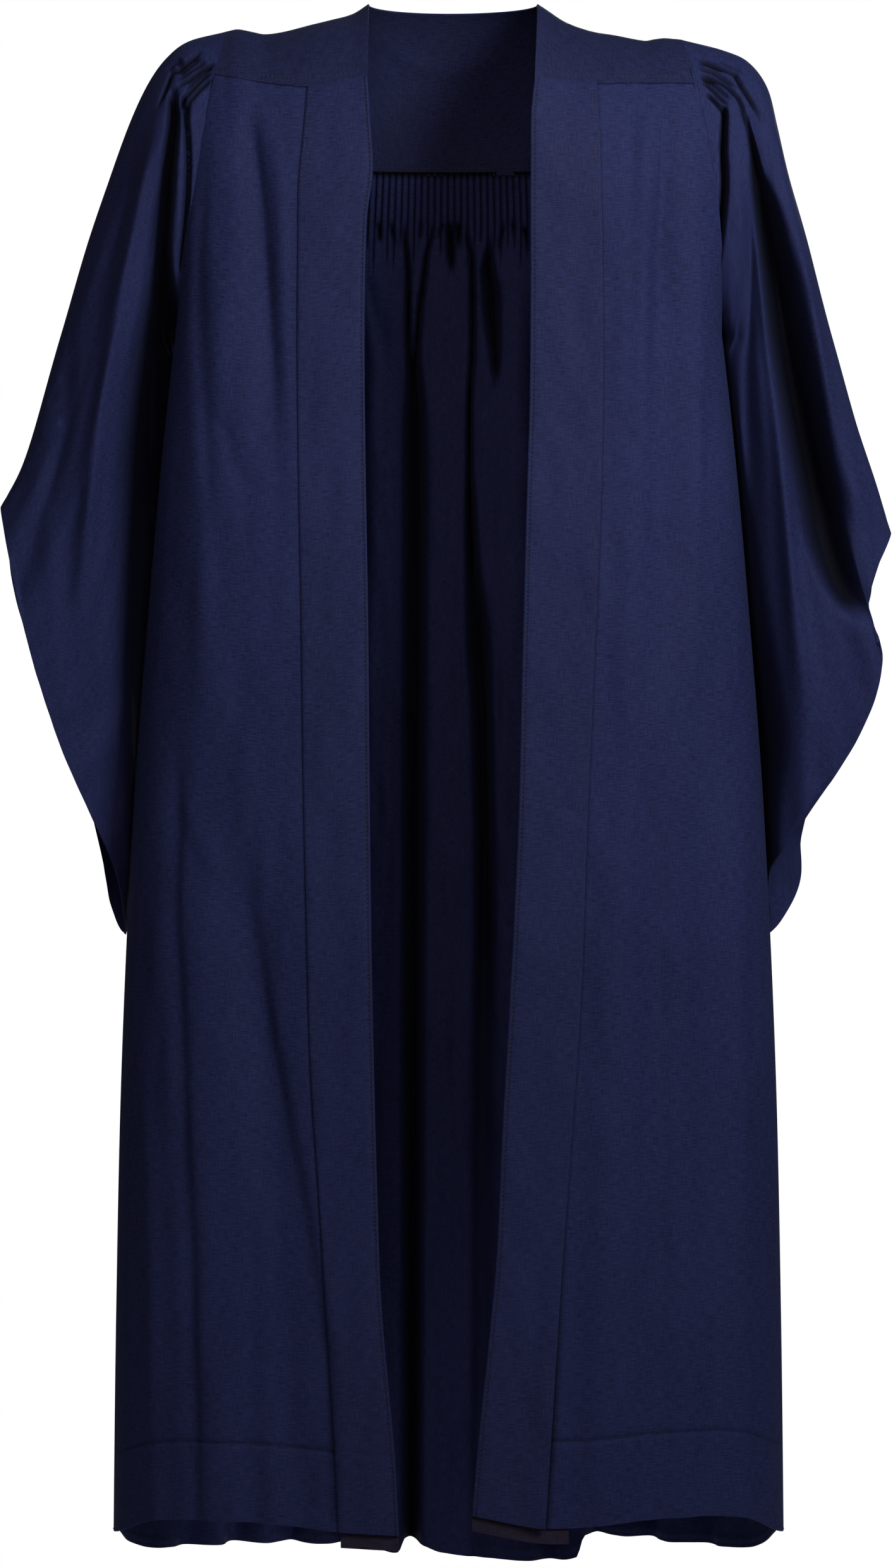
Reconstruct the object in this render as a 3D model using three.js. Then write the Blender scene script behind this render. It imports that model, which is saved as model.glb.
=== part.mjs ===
import * as THREE from 'three';

// Graduation gown of the bachelor pattern, open in front and filled out as when worn.
// Millimetres, +Z up, the front faces -Y, and the wearer's left is +X.
// The origin lies between the shoulders, about level with the tops of the armholes.

// Cloth and seams
const CLOTH = 1.6;
const YOKE_CLOTH = 2.0;
const SEAM_GAP = 0.3;
const MOST_SLANT = 2.2;
const SLEEVE_SLANT = 1.1;

// Heights of the main lines
const NECK_Z = 19;
const FRONT_SEAM_Z = -50;
const BACK_SEAM_Z = -102;
const FLUTE_MIDDLE_Z = -124;
const FLUTE_END_Z = -146;
const RELEASE_Z = -172;
const UNDERARM_Z = -240;
const FRONT_HEM_Z = -1150;
const BACK_HEM_Z = -1207;
const SIDE_HEM_Z = -1165;
const FACING_DROP = 12;
const DOME_HEIGHT = 22.4;

// How far from a seam or hem its own line still bends the levels of the cloth
const SEAM_BEND_FALL = 150;
const FRONT_HEM_BEND_RISE = 260;
const BACK_HEM_BEND_RISE = 300;
const FULL_FOLDS_DEPTH = 290;

// Form of the body
const MID_Y = -15;
const FRONT_FALL = 150;
const BACK_FALL = 250;
const ARMHOLE_HALF_DEPTH = 75;
const CORE_HALF = 120;
const CORE_DROP = 100;
const LEAST_DEPTH = 0.01;
const MOST_ARMHOLE_DEPTH = 0.98;

// Flutes
const BACK_FLUTES = 68;
const BACK_FLUTE_RELIEF = 1.6;
const BACK_PLAIN_SHARE = 0.06;
const BACK_PLAIN_COLUMNS = 3;
const FLUTE_SLANT = 1.35;
const FLUTE_END_STRENGTH = 0.8;
const HEAD_FLUTES = 10;
const HEAD_FLUTE_RELIEF = 1.7;
const HEAD_FLUTES_START = 28;
const HEAD_FLUTES_END = 76;
const HEAD_FLUTES_DOWN = 0.07;
const HEAD_RELEASE_DOWN = 0.14;

// Folds: how they ease in and out, and how close to the edges of the cloth they may run
const FOLD_EASE_IN = 0.25;
const FOLD_EASE_OUT = 0.3;
const FOLD_CUT_OFF = 0.001;
const FOLD_SPREAD_TOP = 0.85;
const FOLD_SPREAD_HEM = 1.15;
const FRONT_CALM_EDGE = 0.9;
const BACK_CALM_EDGE = 0.06;
const SLEEVE_CALM_OVER = 0.08;
const SLEEVE_CALM_UNDER = 0.9;

// Sleeves
const SLEEVE_CLEARANCE = 3;
const CLEARANCE_RISE = 0.2;
const SLEEVE_TUCK_Y = 38;
const MOUTH_START = 0.7;
const EVEN_COLUMNS_DOWN = 0.4;

// Grid sizes
const NECK_COLUMNS = 10;
const BAND_COLUMNS = 3;
const FRONT_COLUMNS = 10;
const YOKE_FRONT_ROWS = 4;
const YOKE_BACK_ROWS = 5;
const BACK_COLUMNS = 60;
const SLEEVE_COLUMNS = 56;
const TOP_COLUMNS = 4;
const CURVE_SAMPLES = 240;
const BACK_SAMPLES = 400;

// Level whose cloth settles how the columns of fronts and back are spaced
const EVEN_Z = -600;

// Rows: how many beside the armhole, their levels below it, and shares along the sleeves
const FRONT_ARMHOLE_ROWS = 7;
const FRONT_LOWER_ROWS = [-310, -400, -510, -640, -780, -920, -1050, FRONT_HEM_Z];
const BACK_ARMHOLE_ROWS = 4;
const BACK_LOWER_ROWS = [-310, -410, -530, -670, -820, -970, -1100, BACK_HEM_Z];
const SLEEVE_ROWS = [0, 0.035, 0.07, 0.13, 0.21, 0.32, 0.45, 0.59, 0.73, 0.87, 1];

const SIDES = {
  right: {
    sign: -1,
    neckHalf: 62,
    armholeX: 172,
    armholeZ: -2.2,
    armholeBulge: 2,
    facingColumns: 2,
  },
  left: {
    sign: 1,
    neckHalf: 69,
    armholeX: 180,
    armholeZ: -8.5,
    armholeBulge: 8,
    facingColumns: 4,
  },
};

// Half width of the body, its depth before and behind the side seams, and how square
// its level is in front and behind (2 is an ellipse), by height
const BODY = [
  { z: -1215, width: 260.5, front: 114, back: 138, frontSquare: 2.6, backSquare: 2.6 },
  { z: -1000, width: 258, front: 112, back: 136, frontSquare: 2.65, backSquare: 2.6 },
  { z: -800, width: 253.5, front: 109, back: 134, frontSquare: 2.75, backSquare: 2.6 },
  { z: -600, width: 244, front: 105, back: 132, frontSquare: 2.9, backSquare: 2.6 },
  { z: -450, width: 232.5, front: 102, back: 130.5, frontSquare: 3.2, backSquare: 2.65 },
  { z: -330, width: 221.5, front: 101, back: 129, frontSquare: 3.8, backSquare: 2.75 },
  { z: -240, width: 211, front: 100, back: 128, frontSquare: 4.6, backSquare: 3 },
  { z: 50, width: 175, front: 100, back: 128, frontSquare: 5, backSquare: 3.1 },
];

// Line of the shoulders, from the neck out to the armhole
const SHOULDER = {
  right: [
    { x: 62, z: 19 },
    { x: 74, z: 11.6 },
    { x: 91, z: 6.6 },
    { x: 108, z: 2.3 },
    { x: 130, z: -2.8 },
    { x: 143, z: -4.4 },
    { x: 152, z: -2.8 },
    { x: 164, z: -0.5 },
    { x: 172, z: -2.2 },
  ],
  left: [
    { x: 69, z: 19 },
    { x: 76, z: 14.5 },
    { x: 91, z: 4.6 },
    { x: 110, z: -2.2 },
    { x: 129, z: -5.2 },
    { x: 152, z: -9.5 },
    { x: 160, z: -8.2 },
    { x: 168, z: -7.3 },
    { x: 180, z: -8.5 },
  ],
};

// Edges of the two front bands, as distances from the middle of the gown
const BANDS = {
  right: [
    { z: -1170, inner: 37, outer: 83 },
    { z: -1095, inner: 41, outer: 86.4 },
    { z: -980, inner: 51, outer: 93.6 },
    { z: -900, inner: 54, outer: 98.4 },
    { z: -807, inner: 56.6, outer: 104.6 },
    { z: -711, inner: 58.5, outer: 107.5 },
    { z: -586, inner: 60, outer: 110.4 },
    { z: -471, inner: 61, outer: 112 },
    { z: -279, inner: 63.8, outer: 115 },
    { z: -160, inner: 62.4, outer: 114.5 },
    { z: -120, inner: 57.6, outer: 113.5 },
    { z: -80, inner: 60, outer: 110 },
    { z: -46, inner: 62.2, outer: 107.5 },
  ],
  left: [
    { z: -1170, inner: 15.5, outer: 72 },
    { z: -1095, inner: 21.6, outer: 77 },
    { z: -951, inner: 36, outer: 86.4 },
    { z: -855, inner: 40.5, outer: 93.6 },
    { z: -759, inner: 46, outer: 100 },
    { z: -615, inner: 53, outer: 105.6 },
    { z: -495, inner: 56, outer: 111 },
    { z: -399, inner: 58.5, outer: 115 },
    { z: -279, inner: 61.8, outer: 117.6 },
    { z: -111, inner: 62.4, outer: 116 },
    { z: -75, inner: 63, outer: 114.7 },
    { z: -46, inner: 66, outer: 113.5 },
  ],
};

// How far the front seam and the front hem leave their level, from the opening to the side
const FRONT_SEAM = [
  { share: 0, right: 3, left: 2 },
  { share: 0.35, right: -4, left: -1 },
  { share: 0.6, right: -1, left: 0 },
  { share: 1, right: 8, left: 1 },
];
const FRONT_HEM = [
  { share: 0, right: -6, left: 9 },
  { share: 0.25, right: -3, left: -1 },
  { share: 0.55, right: 3, left: 4 },
  { share: 0.85, right: 0, left: 3 },
  { share: 1, right: -15, left: -15 },
];

// Soft folds of the fronts: a ridge stands out, a trough has a negative height
const FRONT_FOLDS = {
  right: [
    { topX: 155, topZ: -60, endX: 128, endZ: -330, width: 13, height: -4 },
    { topX: 176, topZ: -140, endX: 186, endZ: -620, width: 17, height: 4 },
    { topX: 160, topZ: -590, endX: 112, endZ: -1150, width: 17, height: -6 },
    { topX: 205, topZ: -560, endX: 178, endZ: -1150, width: 22, height: 5 },
  ],
  left: [
    { topX: 140, topZ: -60, endX: 136, endZ: -700, width: 13, height: 4 },
    { topX: 162, topZ: -70, endX: 168, endZ: -560, width: 12, height: -4 },
    { topX: 128, topZ: -560, endX: 116, endZ: -1150, width: 15, height: 5 },
    { topX: 196, topZ: -420, endX: 205, endZ: -1150, width: 18, height: -5 },
  ],
};

// Folds of the back, each standing out behind from the yoke to the hem
const BACK_FOLDS = [
  { topX: -160, hemX: -203, width: 12, height: 13 },
  { topX: -129, hemX: -166, width: 13, height: 21 },
  { topX: -98, hemX: -126, width: 11, height: 18 },
  { topX: -64, hemX: -78, width: 13, height: 23 },
  { topX: -27, hemX: -27, width: 11, height: 27 },
  { topX: 22, hemX: 27, width: 11, height: 24 },
  { topX: 58, hemX: 69, width: 13, height: 21 },
  { topX: 93, hemX: 114, width: 11, height: 19 },
  { topX: 126, hemX: 156, width: 13, height: 22 },
  { topX: 157, hemX: 201, width: 12, height: 14 },
];

// Sections of the sleeves: the line over the arm and the line under it, from armhole to mouth
const SLEEVES = {
  right: [
    { share: 0, overX: 172, overZ: -2.2, underX: 211, underZ: -240, half: 75, tuck: 0 },
    { share: 0.07, overX: 201, overZ: -10, underX: 216, underZ: -252, half: 79, tuck: 0.1 },
    { share: 0.14, overX: 218, overZ: -23, underX: 218, underZ: -272, half: 80, tuck: 0.4 },
    { share: 0.22, overX: 233, overZ: -43, underX: 217, underZ: -302, half: 79, tuck: 0.8 },
    { share: 0.3, overX: 247, overZ: -72, underX: 217, underZ: -338, half: 77, tuck: 1 },
    { share: 0.4, overX: 263, overZ: -115, underX: 220, underZ: -384, half: 74, tuck: 1 },
    { share: 0.52, overX: 281, overZ: -168, underX: 225, underZ: -440, half: 70, tuck: 1 },
    { share: 0.66, overX: 300, overZ: -238, underX: 232, underZ: -510, half: 66, tuck: 1 },
    { share: 0.8, overX: 318, overZ: -300, underX: 239, underZ: -585, half: 62, tuck: 1 },
    { share: 0.9, overX: 332, overZ: -340, underX: 247, underZ: -650, half: 60, tuck: 1 },
    { share: 1, overX: 348, overZ: -371, underX: 258, underZ: -704, half: 58, tuck: 0.9 },
  ],
  left: [
    { share: 0, overX: 180, overZ: -8.5, underX: 211, underZ: -240, half: 75, tuck: 0 },
    { share: 0.07, overX: 213, overZ: -17, underX: 216, underZ: -252, half: 79, tuck: 0.1 },
    { share: 0.14, overX: 233, overZ: -26, underX: 218, underZ: -272, half: 80, tuck: 0.4 },
    { share: 0.22, overX: 247, overZ: -46, underX: 217, underZ: -302, half: 79, tuck: 0.8 },
    { share: 0.3, overX: 255, overZ: -76, underX: 217, underZ: -338, half: 77, tuck: 1 },
    { share: 0.4, overX: 265, overZ: -116, underX: 220, underZ: -384, half: 74, tuck: 1 },
    { share: 0.52, overX: 280, overZ: -170, underX: 225, underZ: -440, half: 70, tuck: 1 },
    { share: 0.66, overX: 298, overZ: -240, underX: 232, underZ: -510, half: 66, tuck: 1 },
    { share: 0.8, overX: 316, overZ: -304, underX: 239, underZ: -585, half: 62, tuck: 1 },
    { share: 0.9, overX: 333, overZ: -354, underX: 247, underZ: -650, half: 60, tuck: 1 },
    { share: 1, overX: 344, overZ: -391, underX: 256, underZ: -704, half: 58, tuck: 0.9 },
  ],
};

// Folds of the sleeves: down is the share along the sleeve, across the share from the
// line over the arm (0) to the line under it (1)
const SLEEVE_FOLDS = {
  right: [
    { layer: 'front', down: 0.08, across: 0.2, downEnd: 0.95, acrossEnd: 0.5, width: 20, height: 10 },
    { layer: 'front', down: 0.07, across: 0.3, downEnd: 0.62, acrossEnd: 0.84, width: 14, height: -20 },
    { layer: 'front', down: 0.07, across: 0.42, downEnd: 0.3, acrossEnd: 0.8, width: 10, height: 7 },
    { layer: 'front', down: 0.6, across: 0.12, downEnd: 1, acrossEnd: 0.2, width: 15, height: -6 },
    { layer: 'back', down: 0.08, across: 0.22, downEnd: 0.9, acrossEnd: 0.45, width: 18, height: 10 },
    { layer: 'back', down: 0.08, across: 0.36, downEnd: 0.8, acrossEnd: 0.75, width: 15, height: -16 },
    { layer: 'back', down: 0.35, across: 0.2, downEnd: 1, acrossEnd: 0.3, width: 17, height: -8 },
  ],
  left: [
    { layer: 'front', down: 0.08, across: 0.3, downEnd: 1, acrossEnd: 0.72, width: 17, height: 11 },
    { layer: 'front', down: 0.07, across: 0.42, downEnd: 0.7, acrossEnd: 0.9, width: 13, height: -18 },
    { layer: 'front', down: 0.09, across: 0.2, downEnd: 0.92, acrossEnd: 0.36, width: 14, height: -15 },
    { layer: 'front', down: 0.12, across: 0.06, downEnd: 0.8, acrossEnd: 0.14, width: 16, height: 7 },
    { layer: 'back', down: 0.08, across: 0.26, downEnd: 0.9, acrossEnd: 0.5, width: 18, height: 11 },
    { layer: 'back', down: 0.08, across: 0.4, downEnd: 0.85, acrossEnd: 0.78, width: 14, height: -16 },
    { layer: 'back', down: 0.3, across: 0.12, downEnd: 1, acrossEnd: 0.2, width: 16, height: -9 },
  ],
};

// How far each layer of a sleeve mouth stands out past the straight line of its hem
const MOUTHS = {
  right: [
    { across: 0, front: 0, back: 0 },
    { across: 0.3, front: 5, back: 2 },
    { across: 0.55, front: 2, back: -2 },
    { across: 0.8, front: -9, back: 0 },
    { across: 0.92, front: -6, back: 2 },
    { across: 1, front: 0, back: 0 },
  ],
  left: [
    { across: 0, front: 0, back: 0 },
    { across: 0.17, front: -5, back: 0 },
    { across: 0.32, front: 19, back: 4 },
    { across: 0.5, front: 16, back: 2 },
    { across: 0.75, front: -8, back: 2 },
    { across: 0.88, front: -14, back: 10 },
    { across: 1, front: 0, back: 0 },
  ],
};

const COLOURS = {
  cloth: { color: 0x20264c, roughness: 0.72 },
  yoke: { color: 0x222848, roughness: 0.74 },
  band: { color: 0x232a52, roughness: 0.7 },
  facing: { color: 0x231f36, roughness: 0.85 },
};

const clamp = THREE.MathUtils.clamp;
const lerp = THREE.MathUtils.lerp;
const smoothstep = THREE.MathUtils.smoothstep;

// Smooth value of a column of a table whose rows rise in the key column
function readTable(table, key, at, column) {
  const last = table.length - 1;
  const place = clamp(at, table[0][key], table[last][key]);
  let row = 0;
  while (row < last - 1 && table[row + 1][key] < place) row += 1;
  const slopeAt = (index) => {
    const before = table[Math.max(index - 1, 0)];
    const after = table[Math.min(index + 1, last)];
    return (after[column] - before[column]) / (after[key] - before[key]);
  };
  const step = table[row + 1][key] - table[row][key];
  const t = (place - table[row][key]) / step;
  const start = table[row][column];
  const end = table[row + 1][column];
  const bend = t * (1 - t);
  const straight = lerp(start, end, t);
  const leadIn = (slopeAt(row) * step - (end - start)) * bend * (1 - t);
  const leadOut = (end - start - slopeAt(row + 1) * step) * bend * t;
  return straight + leadIn + leadOut;
}

// Share of full depth that the cloth has reached at a share of its fall
function roundOver(fall) {
  const rest = 1 - clamp(fall, 0, 1);
  return Math.sqrt(1 - rest * rest);
}

// Height of the shoulder line, which runs on as a dome over the neck hole
function shoulderZ(side, x) {
  const { neckHalf } = SIDES[side];
  if (x >= neckHalf) return readTable(SHOULDER[side], 'x', x, 'z');
  return NECK_Z + DOME_HEIGHT * (1 - (x / neckHalf) ** 2);
}

function armholeX(side, z) {
  const { armholeX: topX, armholeZ: topZ, armholeBulge: bulge } = SIDES[side];
  const share = clamp((topZ - z) / (topZ - UNDERARM_Z), 0, 1);
  const bottomX = readTable(BODY, 'z', UNDERARM_Z, 'width');
  return lerp(topX, bottomX, share) + bulge * 4 * share * (1 - share);
}

function armholeHalfDepth(side, z) {
  const { armholeZ: topZ } = SIDES[side];
  const half = (topZ - UNDERARM_Z) / 2;
  const fromCentre = (z - UNDERARM_Z - half) / half;
  return ARMHOLE_HALF_DEPTH * Math.sqrt(Math.max(0, 1 - fromCentre ** 2));
}

// Full depth of the cloth before or behind the side seams, at a distance from the middle
function fullDepth(side, layer, x, z) {
  const fall = layer === 'front' ? FRONT_FALL : BACK_FALL;
  return readTable(BODY, 'z', z, layer) * roundOver((shoulderZ(side, x) - z) / fall);
}

// Depth left at a share of the way out to the side, as a share of full depth, and back again
function squareRound(layer, share, z) {
  const square = readTable(BODY, 'z', z, `${layer}Square`);
  return (1 - clamp(share, 0, 1) ** square) ** (1 / square);
}

// Half width at which the cloth of a level would meet the plane of the side seams
function girth(side, layer, z) {
  if (z <= UNDERARM_Z) return readTable(BODY, 'z', z, 'width');
  const edge = armholeX(side, z);
  const full = Math.max(fullDepth(side, layer, edge, z), LEAST_DEPTH);
  const depthShare = Math.min(armholeHalfDepth(side, z) / full, MOST_ARMHOLE_DEPTH);
  return edge / squareRound(layer, depthShare, z);
}

// Distance of the cloth before or behind the plane of the side seams
function depthAt(side, layer, x, z) {
  return fullDepth(side, layer, x, z) * squareRound(layer, x / girth(side, layer, z), z);
}

// Point of the smooth body, x counted from the middle towards the given side
function bodyPoint(side, layer, x, z) {
  const towards = layer === 'front' ? -1 : 1;
  return new THREE.Vector3(SIDES[side].sign * x, MID_Y + towards * depthAt(side, layer, x, z), z);
}

// Unit direction out of the cloth, away from the core of the hollow body
function outOfBody(side, point) {
  const top = shoulderZ(side, Math.abs(point.x)) - CORE_DROP;
  const coreX = clamp(point.x, -CORE_HALF, CORE_HALF);
  const core = new THREE.Vector3(coreX, MID_Y, Math.min(point.z, top));
  return point.clone().sub(core).normalize();
}

// Half width of the body's side at a distance behind the side seams, for the sleeve to clear
function bodySideX(y, z) {
  const layer = y < MID_Y ? 'front' : 'back';
  const share = Math.abs(y - MID_Y) / readTable(BODY, 'z', z, layer);
  return readTable(BODY, 'z', z, 'width') * squareRound(layer, share, z);
}

// One ridge or trough: how strongly a fold shows at a distance across it
function foldShape(distance, width) {
  return Math.exp(-((distance / width) ** 2));
}

// How strongly a fold shows along its own length, easing in and out at its ends
function foldFade(share, easeIn, easeOut) {
  return smoothstep(share, 0, easeIn) * (1 - smoothstep(share, 1 - easeOut, 1));
}

// A sheet of cloth: rows of points, laced into triangles and closed into a wall
class Sheet {
  constructor() {
    this.outer = [];
    this.inner = [];
    this.faces = [];
  }

  add(outer, inner) {
    this.outer.push(outer);
    this.inner.push(inner);
    return this.outer.length - 1;
  }

  addRow(pairs) {
    return pairs.map(({ outer, inner }) => this.add(outer, inner));
  }

  // Triangles between two rows, each advanced in turn by its share of its length
  lace(rowA, rowB, sharesA = evenShares(rowA.length), sharesB = evenShares(rowB.length)) {
    let a = 0;
    let b = 0;
    const lastA = rowA.length - 1;
    const lastB = rowB.length - 1;
    while (a < lastA || b < lastB) {
      const stepA = b === lastB || (a < lastA && sharesA[a + 1] <= sharesB[b + 1]);
      if (stepA) {
        this.faces.push([rowA[a], rowA[a + 1], rowB[b]]);
        a += 1;
      } else {
        this.faces.push([rowA[a], rowB[b + 1], rowB[b]]);
        b += 1;
      }
    }
  }

  // Outer faces, the same faces turned over inside, and a strip along each open edge
  closedFaces() {
    const count = this.outer.length;
    const edges = new Map();
    this.faces.forEach(([a, b, c]) => {
      [[a, b], [b, c], [c, a]].forEach(([from, to]) => edges.set(`${from},${to}`, [from, to]));
    });
    const closed = this.faces.flatMap(([a, b, c]) => [a, b, c, a + count, c + count, b + count]);
    edges.forEach(([from, to]) => {
      if (edges.has(`${to},${from}`)) return;
      closed.push(to, from, from + count, to, from + count, to + count);
    });
    return closed;
  }

  solid(name, look) {
    const places = [...this.outer, ...this.inner];
    const indices = this.closedFaces();
    if (signedVolume(places, indices) < 0) indices.reverse();
    const geometry = new THREE.BufferGeometry();
    geometry.setFromPoints(places);
    geometry.setIndex(indices);
    geometry.computeVertexNormals();
    const mesh = new THREE.Mesh(geometry, new THREE.MeshStandardMaterial(look));
    mesh.name = name;
    return mesh;
  }
}

function evenShares(count) {
  return Array.from({ length: count }, (_, index) => index / (count - 1));
}

function signedVolume(places, indices) {
  let volume = 0;
  for (let at = 0; at < indices.length; at += 3) {
    const [a, b, c] = [0, 1, 2].map((corner) => places[indices[at + corner]]);
    volume += a.dot(b.clone().cross(c)) / 6;
  }
  return volume;
}

// Outer and inner point of a wall whose cloth stands out by height from the smooth form;
// slant lengthens the wall's step where the cloth lies steeply to it
function wallAt(base, out, height, thickness, slant = 1) {
  return {
    outer: base.clone().addScaledVector(out, height),
    inner: base.clone().addScaledVector(out, height - thickness * Math.min(slant, MOST_SLANT)),
  };
}

// Places along a curve at even distances, as shares of its parameter
function spreadEvenly(curve, count, samples = CURVE_SAMPLES) {
  const travelled = [0];
  let last = curve(0);
  for (let step = 1; step <= samples; step += 1) {
    const next = curve(step / samples);
    travelled.push(travelled[step - 1] + next.distanceTo(last));
    last = next;
  }
  const length = travelled[samples];
  let step = 0;
  return evenShares(count).map((share) => {
    while (step < samples - 1 && travelled[step + 1] < share * length) step += 1;
    const gap = travelled[step + 1] - travelled[step];
    return (step + clamp((share * length - travelled[step]) / gap, 0, 1)) / samples;
  });
}

// Heights of the rows beside the armhole, closer together towards the underarm
function armholeRows(side, fromZ, count) {
  const { armholeZ: topZ } = SIDES[side];
  const half = (topZ - UNDERARM_Z) / 2;
  const start = Math.acos((fromZ - UNDERARM_Z - half) / half);
  return evenShares(count + 1).map((share) => {
    const angle = lerp(start, Math.PI, share);
    return UNDERARM_Z + half + half * Math.cos(angle);
  });
}

function frontEdgeX(side, z) {
  return z > UNDERARM_Z ? armholeX(side, z) - SEAM_GAP / 2 : readTable(BODY, 'z', z, 'width');
}

// Shares of the way from the band's outer edge to the side, evenly spaced along the cloth
function sideShares(side) {
  const outer = readTable(BANDS[side], 'z', EVEN_Z, 'outer');
  const edge = frontEdgeX(side, EVEN_Z);
  const slide = (t) => Math.sin((t * Math.PI) / 2);
  const curve = (t) => bodyPoint(side, 'front', lerp(outer, edge, slide(t)), EVEN_Z);
  return spreadEvenly(curve, FRONT_COLUMNS + 1).slice(1).map(slide);
}

const SIDE_SHARES = { right: sideShares('right'), left: sideShares('left') };

// Shares of a front's width at which its columns lie: first under the band, then to the side
function frontColumns(side, z) {
  const inner = readTable(BANDS[side], 'z', z, 'inner');
  const outer = readTable(BANDS[side], 'z', z, 'outer');
  const bandShare = (outer - inner) / (frontEdgeX(side, z) - inner);
  const underBand = evenShares(BAND_COLUMNS + 1).map((share) => share * bandShare);
  return [...underBand, ...SIDE_SHARES[side].map((share) => lerp(bandShare, 1, share))];
}

function frontX(side, share, z) {
  return lerp(readTable(BANDS[side], 'z', z, 'inner'), frontEdgeX(side, z), share);
}

function frontFoldHeight(side, x, z) {
  return FRONT_FOLDS[side].reduce((height, fold) => {
    const share = (fold.topZ - z) / (fold.topZ - fold.endZ);
    if (share <= 0 || share >= 1) return height;
    const middle = lerp(fold.topX, fold.endX, share);
    const easeOut = fold.endZ <= FRONT_HEM_Z ? FOLD_CUT_OFF : FOLD_EASE_OUT;
    const fade = foldFade(share, FOLD_EASE_IN, easeOut);
    return height + fold.height * foldShape(x - middle, fold.width) * fade;
  }, 0);
}

// Rows of wall points of a front; the first row is the yoke seam and the last the hem
function frontRows(side) {
  const levels = [
    ...armholeRows(side, FRONT_SEAM_Z, FRONT_ARMHOLE_ROWS),
    ...FRONT_LOWER_ROWS,
  ];
  return levels.map((level) => {
    const seamShare = 1 - smoothstep(FRONT_SEAM_Z - level, 0, SEAM_BEND_FALL);
    const hemShare = smoothstep(level, FRONT_HEM_Z, FRONT_HEM_Z + FRONT_HEM_BEND_RISE);
    return frontColumns(side, level).map((share) => {
      const seamShift = readTable(FRONT_SEAM, 'share', share, side) * seamShare;
      const hemShift = readTable(FRONT_HEM, 'share', share, side) * (1 - hemShare);
      const z = level + seamShift + hemShift - (level === FRONT_SEAM_Z ? SEAM_GAP / 2 : 0);
      const x = frontX(side, share, z);
      const base = bodyPoint(side, 'front', x, z);
      if (share === 1 && z <= UNDERARM_Z) base.y -= SEAM_GAP / 2;
      const edgeFade = 1 - smoothstep(share, FRONT_CALM_EDGE, 1);
      const height = frontFoldHeight(side, x, z) * edgeFade;
      return { base, out: outOfBody(side, base), height };
    });
  });
}

function buildFront(side) {
  const sheet = new Sheet();
  const rows = frontRows(side).map((row) =>
    sheet.addRow(row.map(({ base, out, height }) => wallAt(base, out, height, CLOTH))));
  rows.slice(1).forEach((row, index) => sheet.lace(rows[index], row));
  return sheet.solid(`front_${side}`, COLOURS.cloth);
}

// The band lies on the front: its points are the front's own, moved out
function buildBand(side) {
  const sheet = new Sheet();
  const rows = frontRows(side).map((row) =>
    sheet.addRow(row.slice(0, BAND_COLUMNS + 1).map(({ base, out, height }) =>
      wallAt(base, out, height + SEAM_GAP + CLOTH, CLOTH))));
  rows.slice(1).forEach((row, index) => sheet.lace(rows[index], row));
  return sheet.solid(`band_${side}`, COLOURS.band);
}

// The facing lies inside the front: its points are the front's own, moved in
function buildFacing(side) {
  const sheet = new Sheet();
  const frontGrid = frontRows(side);
  const grid = frontGrid.map((row) => row.slice(0, SIDES[side].facingColumns + 1));
  const hem = grid[grid.length - 1];
  grid.push(hem.map(({ base, out, height }) => {
    const lower = base.clone();
    lower.z -= FACING_DROP;
    return { base: lower, out, height };
  }));
  const rows = grid.map((row) =>
    sheet.addRow(row.map(({ base, out, height }) =>
      wallAt(base, out, height - CLOTH - SEAM_GAP, CLOTH))));
  rows.slice(1).forEach((row, index) => sheet.lace(rows[index], row));
  return sheet.solid(`facing_${side}`, COLOURS.facing);
}

// Columns of the yoke from armhole to armhole; those between the necks lie on the neckline
function yokeColumns() {
  const shoulder = (side) => frontColumns(side, FRONT_SEAM_Z).map((share) => ({ side, share }));
  const neck = (side) => evenShares(NECK_COLUMNS / 2 + 1).slice(0, -1).map((t) => {
    const neckX = SIDES[side].neckHalf * Math.sin((t * Math.PI) / 2);
    return { side, neckX };
  });
  return [
    ...shoulder('right').reverse(),
    ...neck('right').reverse(),
    ...neck('left').slice(1),
    ...shoulder('left'),
  ];
}

function yokeTopZ({ side, share, neckX }) {
  if (neckX !== undefined) return NECK_Z;
  const { neckHalf, armholeX: edge } = SIDES[side];
  return shoulderZ(side, lerp(neckHalf, edge - SEAM_GAP / 2, share));
}

function yokeX({ side, share, neckX }, z, layer) {
  if (neckX !== undefined) return neckX;
  const { neckHalf } = SIDES[side];
  const frontInner = readTable(BANDS[side], 'z', FRONT_SEAM_Z, 'inner');
  const sinking = clamp((NECK_Z - z) / (NECK_Z - FRONT_SEAM_Z), 0, 1);
  const inner = layer === 'front' ? lerp(neckHalf, frontInner, sinking) : neckHalf;
  return lerp(inner, armholeX(side, z) - SEAM_GAP / 2, share);
}

function yokePoint(column, layer, sink, bottomZ) {
  const topZ = yokeTopZ(column);
  const z = topZ - (topZ - bottomZ) * (1 - Math.cos((sink * Math.PI) / 2));
  const base = bodyPoint(column.side, layer, yokeX(column, z, layer), z);
  return wallAt(base, outOfBody(column.side, base), 0, YOKE_CLOTH);
}

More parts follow.
